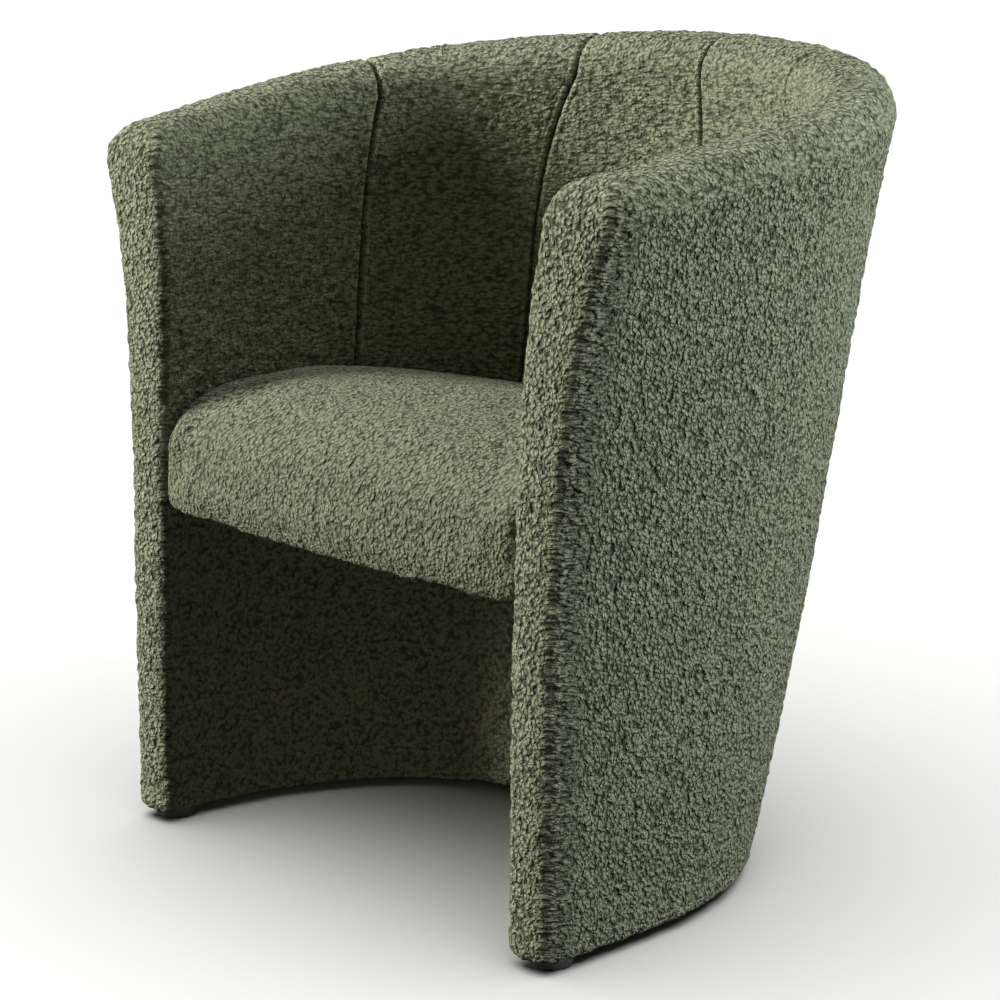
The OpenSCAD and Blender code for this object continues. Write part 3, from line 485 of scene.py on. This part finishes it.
def hem_levels(top_levels):
    """Levels up a piece that turns under the frame: share of height, inset, rise over the hem."""
    roll = [(0.0, HEM_R*(1 - math.cos(a)), HEM_R*(1 - math.sin(a))) for a in ROLL]
    return [(0.0, HEM_TURN, 0.0)] + roll + [(s, 0.0, HEM_R) for s in top_levels]


OUT_COLS, OUT_STEP, PAST_END = 476, 0.0034, 1.0025
outside_shares = even(lambda f: on_wall(0.55, 0.0, 2*f - 1, OUT_CORNER), OUT_COLS)*2 - 1
outside_shares = np.concatenate([[-PAST_END], outside_shares, [PAST_END]])
outside_levels = hem_levels(np.linspace(0, 1, 191)) + [(PAST_END, TUCKED, 0.0), (1.005, TUCKED, 0.0)]


def outside_place(shares, levels, depth):
    def place(c, r):
        u = shares[c]
        s, inset, up = np.array(levels)[r].T
        inset = np.maximum(inset, TUCKED*(np.abs(u) > 1))
        point = on_wall(s, inset + depth, u, OUT_CORNER + inset)
        point[:, 2] += up*(1 - s)
        return point
    return place


outer_cloth, cols, rows = sheet(len(outside_shares) - 1, len(outside_levels) - 1,
                                outside_place(outside_shares, outside_levels, 0.0), turned=True)
# The pile lies level round the front corner of each arm, and the corner is painted darker there as shade,
# fading out along the side
from_corner = np.minimum(cols, len(outside_shares) - 1 - cols)*OUT_STEP
mark(outer_cloth, "lie", np.clip(1.3 - from_corner/0.030, 0, 1))
mark(outer_cloth, "shade", CORNER_SHADE*np.interp(from_corner, [0, 0.008, 0.016, 0.040], [0.3, 1.2, 1.0, 0.0]))
lumps(outer_cloth, "outer_swell", *SWELL)
lumps(outer_cloth, "outer_lumps", *LOOPS)
back_levels = [(0.0, 0.005, 0.002)] + [(s, 0.0, 0.002) for s in np.linspace(0.03, 0.997, 20)]
few_shares = outside_shares[np.rint(np.linspace(0, len(outside_shares) - 1, 49)).astype(int)]
outer_back, _, _ = sheet(48, len(back_levels) - 1, outside_place(few_shares, back_levels, CLOTH_T))
outer_cloth = close_with(outer_cloth, outer_back, "outer_cloth")
dress(outer_cloth, SAGE, ("outer_cover", "outer_wadding"))

# ---------------------------------------------------------------- inside cloth
# The inside is sewn from six panels with five upright seams over foam, and
# pulled over the rim's foam roll to the outside. Its loops lie nearly level.
INNER_SAGE = looped_cloth("inner_boucle", (0.55, 0.595, 0.398), (0.097, 0.104, 0.067), depth=0.0042)
# Height at which the inside cloth is tucked in behind the seat
TUCK = 0.3766
inside_rows = np.linspace(0, 1, 92)
edge_turn = np.linspace(0, math.pi/2, 15)


def seams_at(way, over):
    """Places of the five seams and the two ends, for shares of the way up from the seat and over the rim."""
    slant = 1 - np.exp(-3*over)
    near = 0.356 + (0.264 - 0.356)*way**4 - 0.026*slant
    far = 0.702 + (0.652 - 0.702)*way**4 - 0.014*slant
    zero, one = np.zeros_like(near), np.ones_like(near)
    return np.stack([-one, -far, -near, zero, near, far, one], axis=-1)


def face_group(obj, weights):
    """A vertex group of a cloth's visible side."""
    group = obj.vertex_groups.new(name="face")
    for i, weight in enumerate(weights):
        group.add([i], weight, "REPLACE")


def panel_steps(length, fine=0.0011, coarse=0.0034, close=0.010):
    """Shares across one panel, in finer steps beside its seams."""
    t = np.linspace(0, length, 4001)
    from_seam = np.minimum(t, length - t)
    step = fine + (coarse - fine)*np.clip((from_seam - close)/close, 0, 1)
    count = np.concatenate([[0], np.cumsum(1/step[:-1])*(t[1] - t[0])])
    whole = int(round(count[-1]))
    return np.interp(np.linspace(0, count[-1], whole + 1), count, t)/length


# Rough widths of the six panels, the usual width of a column of faces, and how
# far level pile reaches in from the arms' fronts
PANEL_LENGTHS = (0.19, 0.20, 0.18, 0.18, 0.20, 0.19)
IN_STEP, LIE_REACH = 0.0025, 0.014
inside_columns = []
for panel, length in enumerate(PANEL_LENGTHS):
    steps = panel_steps(length)
    inside_columns += [(panel, f, min(f, 1 - f)*length*(1 if f < 0.5 else -1)) for f in steps[:-1]]
inside_columns = [(0, -0.008, 0.0)] + inside_columns + [(5, 1.0, -1e-6), (5, 1.008, -1e-6)]
inside_columns = np.array(inside_columns)


def seam_dip(near):
    """Depth of a sewn seam's crease, from 0 to 1, at a distance from it."""
    return np.exp(-(near/0.0024)**2)


def seam_lips(near):
    """Height of the lips on both sides of a seam, from 0 to 1. The one before the seam is lower."""
    return np.exp(-((near - 0.0052)/0.0022)**2) + 0.7*np.exp(-((near + 0.0052)/0.0022)**2)


def sewn(panel, near):
    """Whether the nearest panel edge is a seam, and not the cloth's own end."""
    return np.where(near >= 0, panel > 0, panel < 5)


def inside_levels(tuck_steps, edge_steps):
    """Levels up the inside and over the rim: share of the way up, edge angle, and side of the rim."""
    up = [(r, 0.0, 1.0) for r in tuck_steps]
    over_in = [(1.0, a, 1.0) for a in edge_steps[1:]]
    middle = [(1.0, math.pi/2, m) for m in np.linspace(1, -1, 5)[1:-1]]
    over_out = [(1.0, a, -1.0) for a in edge_steps[::-1]]
    return np.array(up + over_in + middle + over_out)


def inside_place(columns, levels, depth, creases):
    def place(c, r):
        panel, f, near = columns[c].T
        way, angle, side = levels[r].T
        k = panel.astype(int)
        over = 0.5 - 0.25*side*(1 + np.cos(angle))
        ends = seams_at(way, over)
        u = ends[np.arange(len(k)), k]*(1 - f) + ends[np.arange(len(k)), k + 1]*f
        low = (TUCK - HEM)/rise(u, 0.045)
        s = low + (1 - low)*way
        # Crease of a sewn seam, its lips and the panels' soft puff
        sink = 0.0030*seam_dip(near) + 0.0010*np.exp(-np.abs(near)/0.012)
        inward = (0.0018*seam_lips(near) - sink)*sewn(panel, near)*creases
        tucked = TUCKED*((f < 0) | (f > 1))
        inset = depth + tucked + (RIM_R - depth - tucked)*(1 - np.cos(angle))
        lift = (RIM_R - depth - tucked)*np.sin(angle)
        inner = wall(s) - inset
        corner = np.where(side > 0, IN_CORNER, OUT_CORNER)*np.cos(angle)
        d = np.where(side > 0, inner, inset)
        d = np.where(np.abs(side) < 1, (inner + inset)/2 + side*(inner - inset)/2, d)
        point = on_wall(s, d, u, inset + corner, lift)
        turn = np.where(side > 0, 1.0, -1.0)*np.cos(angle)
        shoved = on_wall(s, d + 0.001, u, inset + corner, lift)
        direction = (shoved - point)/0.001
        direction[:, 2] = 0
        direction *= turn[:, None]
        direction[:, 2] = np.sin(angle)
        return point + direction*inward[:, None]
    return place


face_levels = inside_levels(inside_rows, edge_turn)
inner_cloth, cols, rows = sheet(len(inside_columns) - 1, len(face_levels) - 1,
                                inside_place(inside_columns, face_levels, 0.0, 1.0))
panel, _, near = inside_columns[cols].T
from_front = np.minimum(cols, len(inside_columns) - 1 - cols)*IN_STEP
front_lie = np.clip(1 - from_front/LIE_REACH, 0, 1)
# Painted shade in each seam's crease and painted light on its lips
mark(inner_cloth, "shade", (0.20*seam_lips(near) - 0.45*seam_dip(near))*sewn(panel, near))
mark(inner_cloth, "lie", np.maximum(front_lie, 0.65*np.cos(face_levels[rows, 1])**2))
face_group(inner_cloth, 1 - 0.8*np.exp(-(near/0.006)**2)*sewn(panel, near))
lumps(inner_cloth, "inner_swell", *SWELL, "face")
lumps(inner_cloth, "inner_lumps", *LOOPS, "face")
few = np.rint(np.linspace(0, len(inside_columns) - 1, 61)).astype(int)
under_levels = inside_levels(np.linspace(0.003, 1, 10), np.linspace(0, math.pi/2, 5))
inner_back, _, _ = sheet(60, len(under_levels) - 1,
                         inside_place(inside_columns[few], under_levels, CLOTH_T, 0.0))
inner_cloth = close_with(inner_cloth, inner_back, "inner_cloth")
dress(inner_cloth, INNER_SAGE, ("inner_cover", "back_foam", "rim_foam"))

# ---------------------------------------------------------------- arm fronts
# Each arm front is a strip of the cloth over a thin pad, rounded at its inner
# and outer corners and over the top.
FACE_COLS_IN, FACE_COLS_FLAT, FACE_COLS_OUT = 5, 18, 6


def front_levels(rows, edges):
    return np.array([(s, i, up, 0.0) for s, i, up in hem_levels(np.linspace(0, 1, rows))]
                    + [(1.0, 0.0, 0.0, a) for a in edges[1:]])


def front_place(levels, depth, side):
    def place(c, r):
        s, hem_in, up, angle = levels[r].T
        inset = hem_in + depth + (RIM_R - depth)*(1 - np.cos(angle))
        lift = (RIM_R - depth)*np.sin(angle) + up*(1 - s)
        y_front = front_y(s) + inset
        k_in, k_out = (IN_CORNER - depth)*np.cos(angle) + 1e-5, (OUT_CORNER - depth)*np.cos(angle) + 1e-5
        x_in = arm_x(s, wall(s) - inset, y_front + k_in)
        x_out = arm_x(s, inset, y_front + k_out)
        turn_in = np.clip(c/FACE_COLS_IN, 0, 1)*math.pi/2
        along = np.clip((c - FACE_COLS_IN)/FACE_COLS_FLAT, 0, 1)
        turn_out = np.clip((c - FACE_COLS_IN - FACE_COLS_FLAT)/FACE_COLS_OUT, 0, 1)*math.pi/2
        x = np.where(c <= FACE_COLS_IN, x_in + k_in*(1 - np.cos(turn_in)),
                     (x_in + k_in)*(1 - along) + (x_out - k_out)*along + k_out*np.sin(turn_out))
        back = np.where(c <= FACE_COLS_IN, k_in*(1 - np.sin(turn_in)), k_out*(1 - np.cos(turn_out)))
        crown = 0.0012*np.cos(angle)*(1 - (2*along - 1)**2)*(depth == 0)
        y = y_front + back - crown
        rim_y = front_y(1) + inset + back
        z = HEM + s*(rim_z(rim_y) - RIM_R - HEM) + lift
        return np.stack([side*x, y, z], axis=-1)
    return place


face_levels = front_levels(196, edge_turn)
back_levels = front_levels(30, np.linspace(0, math.pi/2, 6))
for side, word in ((-1, "left"), (1, "right")):
    columns = FACE_COLS_IN + FACE_COLS_FLAT + FACE_COLS_OUT
    facing, cols, rows = sheet(columns, len(face_levels) - 1, front_place(face_levels, 0.0, side),
                               turned=side < 0)
    mark(facing, "lie", np.clip((cols - FACE_COLS_IN - FACE_COLS_FLAT + 1)/4, 0, 1)
         + np.clip(1 - cols/(FACE_COLS_IN + 1), 0, 1))
    # Painted shade round the outer corner of the arm front, meeting the outside cloth's
    round_outside = np.clip((cols - FACE_COLS_IN - FACE_COLS_FLAT)/FACE_COLS_OUT, 0, 1)
    mark(facing, "shade", 0.6*CORNER_SHADE*round_outside**2)
    lumps(facing, "front_swell", *SWELL)
    lumps(facing, "front_lumps", *LOOPS)
    facing_back, _, _ = sheet(columns, len(back_levels) - 1, front_place(back_levels, CLOTH_T, side))
    facing = close_with(facing, facing_back, "arm_front_" + word)
    dress(facing, SAGE, ("arm_facing_" + word, "arm_pad_" + word))

# ---------------------------------------------------------------- recess cloth
# A bent board under the seat is covered with the same cloth, given paler gaps and a flatter tone
# there as painted light bounced up from the floor. It is tacked along the board's lower edge and to the arm
# fronts.
RECESS_TOP, RECESS_HALF_W, RECESS_DEPTH, RECESS_COLS = 0.3277, 0.2384, 0.308, 250


def recess_arc(f, inset=0.0):
    """Points in plan on the half oval under the seat, for shares from one arm's front to the other's."""
    a = (f*2 - 1)*math.pi/2
    return (RECESS_HALF_W + inset)*np.sin(a), FRONT_FOOT + (RECESS_DEPTH + inset)*np.cos(a)


def recess_place(cols, levels, depth):
    shares = even(lambda f: np.stack(recess_arc(f), axis=-1), cols)

    def place(c, r):
        z, inset = np.array(levels)[r].T
        share = (z - HEM)/rise(1.0)
        x, y = recess_arc(shares[c], depth + inset)
        return np.stack([x, np.maximum(y, front_y(share) + IN_CORNER + inset), z], axis=-1)
    return place


recess_levels = [(HEM, 0.008)] + [(HEM + HEM_R*(1 - math.sin(a)), HEM_R*(1 - math.cos(a))) for a in ROLL]
recess_levels += [(z, 0.0) for z in np.linspace(HEM + HEM_R, RECESS_TOP, 88)]
# Paler gaps and less contrast than the same cloth elsewhere: painted bounce light under the seat
RECESS_SAGE = looped_cloth("recess_boucle", (0.57, 0.605, 0.405), (0.165, 0.173, 0.113),
                           depth=0.0040, contrast=0.8)
recess_cloth, _, _ = sheet(RECESS_COLS, len(recess_levels) - 1, recess_place(RECESS_COLS, recess_levels, 0.0))
lumps(recess_cloth, "recess_lumps", 0.0075, 0.0040)
back_levels = [(z, 0.0) for z in np.linspace(HEM + 0.002, RECESS_TOP - 0.0005, 10)]
recess_back, _, _ = sheet(50, len(back_levels) - 1, recess_place(50, back_levels, CLOTH_T))
recess_cloth = close_with(recess_cloth, recess_back, "recess_cloth")
dress(recess_cloth, RECESS_SAGE, ("alcove_cover",))

# ---------------------------------------------------------------- seat
# A tight foam seat under the same cloth, crowned over its springs, falling to
# the back, rounded over the front edge and pulled down over the front rail.
# The same cloth is given darker loop tips on the seat: painted shade, toning down its brightly lit top and
# front
SEAT_SAGE = looped_cloth("seat_boucle", (0.345, 0.373, 0.250), (0.100, 0.108, 0.069),
                         depth=0.0034, per_metre=240.0, contrast=1.0)
# Heights of its lower edge, of the shoulder where its front starts to round, and of its upper edge
SEAT_Z, SHOULDER_Z, EDGE_Z, CROWN = 0.3235, 0.386, 0.437, 0.010
SEAT_FRONT, SEAT_CORNER, SEAT_BOW, SEAT_GAP = -0.283, 0.016, 0.009, 0.0016
SIDE_R, FRONT_R, SEAT_HEM_R, SEAT_SIDE_Z = 0.012, 0.094, 0.005, 0.3786
FALL, FALL_FROM, FALL_TO = 0.040, -0.122, 0.115
SEAT_BACK, SIDE_END, FRONT_BULGE = 0.101, 0.0015, 0.003
# The foam is cut this much short in front and above, for the simulation to fill
SLACK = 0.004
# Points round each loop, and the angle at which the rounded edge meets the top
SPOKES, EDGE_END = 192, 75


def seat_loop(side_inset, front_inset, side_z, front_z):
    """The seat's outline: round its sides and back at one height and along its front at another."""
    share = (side_z - HEM)/rise(1.0)
    y_end = SEAT_FRONT + front_inset + SEAT_CORNER
    x_end = arm_x(share, wall(share) + SEAT_GAP + side_inset, y_end)
    x_flat = x_end - SEAT_CORNER
    u = np.linspace(-1, 1, 61)
    s = (side_z - HEM)/rise(u)
    x, y = plan(s, wall(s) + SEAT_GAP + side_inset, u, y_end + SIDE_END - front_y(s))
    sides = np.stack([x, y, np.full_like(x, side_z)], axis=-1)
    a = np.radians([0, 15, 30, 45, 60, 75])
    right = np.stack([x_flat + SEAT_CORNER*np.cos(a), y_end - SEAT_CORNER*np.sin(a),
                      np.full_like(a, front_z)], axis=-1)
    f = 1 - 2*np.linspace(0, 1, 17)
    front = np.stack([x_flat*f, y_end - SEAT_CORNER - SEAT_BOW*(1 - f*f), np.full_like(f, front_z)], axis=-1)
    left = right[::-1]*(-1, 1, 1)
    loop = np.concatenate([sides, right, front, left, sides[:1]])
    length = np.concatenate([[0], np.cumsum(np.linalg.norm(np.diff(loop[:, :2], axis=0), axis=1))])
    t = np.linspace(0, length[-1], SPOKES + 1)[:-1]
    return np.stack([np.interp(t, length, loop[:, i]) for i in range(3)], axis=-1)


def sunk(points, share):
    """Lowers points by a share of the seat's fall to the back."""
    fallen = FALL*np.clip((points[:, 1] - FALL_FROM)/(FALL_TO - FALL_FROM), 0, 1)**1.2
    return points - np.outer(fallen*share, (0, 0, 1))


def edge_loop(angle):
    """The seat's outline at an angle round its upper edge."""
    z = SHOULDER_Z + (EDGE_Z - SLACK - SHOULDER_Z)*math.sin(angle)
    curve = 1 - math.cos(angle)
    return seat_loop(SIDE_R*curve, SLACK + (FRONT_R - SLACK)*curve - FRONT_BULGE*math.cos(angle), z, z)


seat_rings = [seat_loop(SEAT_HEM_R*(1 - math.cos(a)), SLACK + SEAT_HEM_R*(1 - math.cos(a)),
                        SEAT_SIDE_Z, SEAT_Z + SEAT_HEM_R*(1 - math.sin(a)))
              for a in np.radians([90, 60, 30, 0])]
seat_rings += [seat_loop(0.0, SLACK - FRONT_BULGE*f, SEAT_SIDE_Z + (SHOULDER_Z - SEAT_SIDE_Z)*f,
                         SEAT_Z + SEAT_HEM_R + (SHOULDER_Z - SEAT_Z - SEAT_HEM_R)*f) for f in (0.33, 0.66)]
seat_rings += [sunk(edge_loop(a), math.sin(a)) for a in np.radians(np.linspace(0, EDGE_END, 8))]
edge = edge_loop(math.radians(EDGE_END))
seat_mid = np.array([0.0, (SEAT_FRONT + SEAT_BACK)/2, 0.0])
for q in (0.95, 0.9, 0.8, 0.7, 0.6, 0.5, 0.4, 0.3, 0.15, 0.0):
    ring = seat_mid + (edge - seat_mid)*q
    ring[:, 2] = edge[:, 2] + CROWN*(1 - q*q)
    seat_rings.append(sunk(ring, 1.0))
seat_top_point = seat_rings.pop()[0]
seat_bottom_point = seat_mid + (0, 0, SEAT_SIDE_Z)
deselect()
bpy.ops.mesh.primitive_uv_sphere_add(segments=SPOKES, ring_count=len(seat_rings) + 1, radius=1)
seat_cushion = bpy.context.object
co = np.empty(len(seat_cushion.data.vertices)*3)
seat_cushion.data.vertices.foreach_get("co", co)
co = co.reshape(-1, 3)
rings = np.rint((np.arcsin(np.clip(co[:, 2], -1, 1))/math.pi + 0.5)*(len(seat_rings) + 1)).astype(int)
spokes = np.rint(np.arctan2(co[:, 1], co[:, 0])/(2*math.pi)*SPOKES).astype(int) % SPOKES
stack = np.array(seat_rings)
placed = stack[np.clip(rings - 1, 0, len(seat_rings) - 1), spokes]
placed[rings == 0] = seat_bottom_point
placed[rings == len(seat_rings) + 1] = seat_top_point
seat_cushion.data.vertices.foreach_set("co", placed.ravel())
only(seat_cushion)
bpy.ops.object.mode_set(mode="EDIT")
bpy.ops.mesh.select_all(action="SELECT")
bpy.ops.mesh.normals_make_consistent(inside=False)
bpy.ops.object.mode_set(mode="OBJECT")
seat_cushion.name = seat_cushion.data.name = "seat_cushion"
remesh = seat_cushion.modifiers.new("even", "REMESH")
remesh.mode = "VOXEL"
remesh.voxel_size = 0.006
apply_last(seat_cushion)
ease = seat_cushion.modifiers.new("ease", "SMOOTH")
ease.factor, ease.iterations = 0.5, 3
apply_last(seat_cushion)


def points_of(obj):
    co = np.empty(len(obj.data.vertices)*3)
    obj.data.vertices.foreach_get("co", co)
    return co.reshape(-1, 3)


def swollen(obj, held, cap, pressure):
    """Blows a cushion up inside its cover by cloth simulation. Held points stay, and each moves no further
    than its cap."""
    start = points_of(obj)
    group = obj.vertex_groups.new(name="held")
    group.add([int(i) for i in np.nonzero(held)[0]], 1.0, "REPLACE")
    cloth = obj.modifiers.new("swell", "CLOTH")
    cloth.settings.use_pressure = True
    cloth.settings.uniform_pressure_force = pressure
    cloth.settings.vertex_group_mass = "held"
    cloth.settings.effector_weights.gravity = 0
    for number in range(1, 21):
        scene.frame_set(number)
    apply_last(obj)
    scene.frame_set(1)
    moved = points_of(obj) - start
    far = np.maximum(np.linalg.norm(moved, axis=1), 1e-9)
    obj.data.vertices.foreach_set("co", (start + moved*np.minimum(1, cap/far)[:, None]).ravel())


points = points_of(seat_cushion)
behind_front = points[:, 1] > SEAT_FRONT + 0.03
low_or_side = (points[:, 2] < SEAT_Z + 0.010) | ((points[:, 2] < SHOULDER_Z) & behind_front)
# It may swell least along the arms and the back, where the inside cloth is close
BY_WALL, MIDDLE, FADE = 0.0015, 0.0060, 0.04
from_wall = np.clip((0.252 - np.abs(points[:, 0]))/FADE, 0, 1)*np.clip((0.18 - points[:, 1])/FADE, 0, 1)
swollen(seat_cushion, low_or_side, BY_WALL + MIDDLE*from_wall, 2.0)
refine = seat_cushion.modifiers.new("refine", "SUBSURF")
refine.levels = refine.render_levels = 1
apply_last(seat_cushion)
lumps(seat_cushion, "seat_lumps", 0.0075, 0.0036)
dress(seat_cushion, SEAT_SAGE, ("seat_cover", "seat_foam", "front_roll"))

# ---------------------------------------------------------------- linings
# Thin black non-woven lining is stretched and stapled under the seat frame and
# under the base, and sinks a little between its staples.
material, shader, place = new_material("black_lining")
web = place.moved(place.noise(500.0, 1.0, 0.6, out=1), 0.003).noise(1800.0, 2.0, 0.7)
dots = place.put("TexVoronoi", {"Vector": place, "Scale": 620.0})
feed(shader, "Base Color", web.blend(rgb(0.012, 0.012, 0.013), rgb(0.040, 0.040, 0.042)))
feed(shader, "Roughness", (0.95 - dots * 0.3).clamp())
feed(shader, "Normal", (web + dots).bump(0.0004))
for node, name, held_by in (("seat_lining", "seat_dust_cloth", "seat_rib"),
                            ("base_lining", "base_dust_cloth", "base_rib")):
    cloth = cut_from(node, name)
    lumps(cloth, name, 0.045, -0.0008, direction="Z")
    dress(cloth, material, (node,))

# ---------------------------------------------------------------- glides
# Four black moulded glides stand under the corners, each held by one screw
# through its well. Their skin is finely grained and unevenly worn.
material, shader, place = new_material("black_glide")
skin = place.noise(1500.0, 2.0, 0.6)
wear = place.noise(120.0, 2.0)
feed(shader, "Base Color", wear.blend(rgb(0.012, 0.012, 0.012), rgb(0.030, 0.030, 0.030)))
feed(shader, "Roughness", (skin * 0.2 + wear * 0.2 + 0.30).clamp())
feed(shader, "Normal", skin.bump(0.0001))
finish(("glide_front_left", "glide_front_right", "glide_rear_left", "glide_rear_right"), material)

# ---------------------------------------------------------------- floor and lights
# A plain pale studio floor with a lamp of its own and a white backdrop, a large
# soft light from the front left, a near and low one from the right and a weak
# one from above.
deselect()
bpy.ops.mesh.primitive_plane_add(size=80)
floor = bpy.context.object
floor.name = "floor"
material, shader, place = new_material("pale_floor")
feed(shader, "Base Color", place.noise(3.0, 2.0).blend(rgb(0.74, 0.74, 0.73), rgb(0.77, 0.77, 0.76)))
shader.inputs["Roughness"].default_value = 0.8
shader.inputs["Specular IOR Level"].default_value = 0.0
floor.data.materials.append(material)
deselect()
bpy.ops.mesh.primitive_uv_sphere_add(segments=64, ring_count=32, radius=39)
backdrop = bpy.context.object
backdrop.name = "backdrop"
only(backdrop)
bpy.ops.object.mode_set(mode="EDIT")
bpy.ops.mesh.select_all(action="SELECT")
bpy.ops.mesh.bisect(plane_co=(0, 0, 0), plane_no=(0, 0, 1), clear_inner=True)
bpy.ops.mesh.select_all(action="SELECT")
bpy.ops.mesh.flip_normals()
bpy.ops.object.mode_set(mode="OBJECT")
material, shader, place = new_material("pale_backdrop")
shader.inputs["Base Color"].default_value = rgb(0, 0, 0)
feed(shader, "Emission Color", place.noise(0.1, 1.0).blend(rgb(0.98, 0.98, 0.97), rgb(1.0, 1.0, 0.99)))
shader.inputs["Emission Strength"].default_value = 1.0
shader.inputs["Specular IOR Level"].default_value = 0.0
backdrop.data.materials.append(material)
for staging in (floor, backdrop):
    staging.visible_diffuse = False
backdrop.visible_glossy = backdrop.visible_shadow = False


def floor_light(lamp, state):
    """Keeps a lamp off the floor, or on the floor alone."""
    reach = bpy.data.collections.new(lamp.name + "_reach")
    reach.objects.link(floor)
    reach.collection_objects[0].light_linking.link_state = state
    lamp.light_linking.receiver_collection = reach


def lamp_at(name, aim, around, up, away, irradiance, spread, colour=(1, 1, 1)):
    """A square soft light that faces its aim, from so many degrees round from the front towards +X, and
    so many up."""
    light = bpy.data.lights.new(name, "AREA")
    light.energy = irradiance*math.pi*away*away
    light.size = spread*away
    light.color = colour
    lamp = bpy.data.objects.new(name, light)
    scene.collection.objects.link(lamp)
    around, up = math.radians(around), math.radians(up)
    towards = Vector((math.cos(up)*math.sin(around), -math.cos(up)*math.cos(around), math.sin(up)))
    lamp.location = Vector(aim) + towards*away
    lamp.rotation_euler = towards.to_track_quat("Z", "Y").to_euler()
    floor_light(lamp, "EXCLUDE")


lamp_at("front_left", (0, -0.2, 0.45), -41, 26, 4.0, 5.0, 0.35, (1.0, 0.974, 0.915))
lamp_at("right", (0.33, 0.0, 0.45), 119, 18, 1.5, 3.5, 0.30, (0.93, 0.98, 1.0))
lamp_at("over", (0, 0, 0.6), 190, 68, 4.0, 1.5, 0.35)
light = bpy.data.lights.new("on_floor", "SUN")
light.energy, light.angle = 4.3, 1.5
lamp = bpy.data.objects.new("on_floor", light)
scene.collection.objects.link(lamp)
floor_light(lamp, "INCLUDE")
world = bpy.data.worlds.new("studio")
scene.world = world
world.use_nodes = True
world.node_tree.nodes["Background"].inputs["Color"].default_value = rgb(1.0, 0.90, 0.84)
world.node_tree.nodes["Background"].inputs["Strength"].default_value = 0.045
scene.view_settings.view_transform = "Standard"
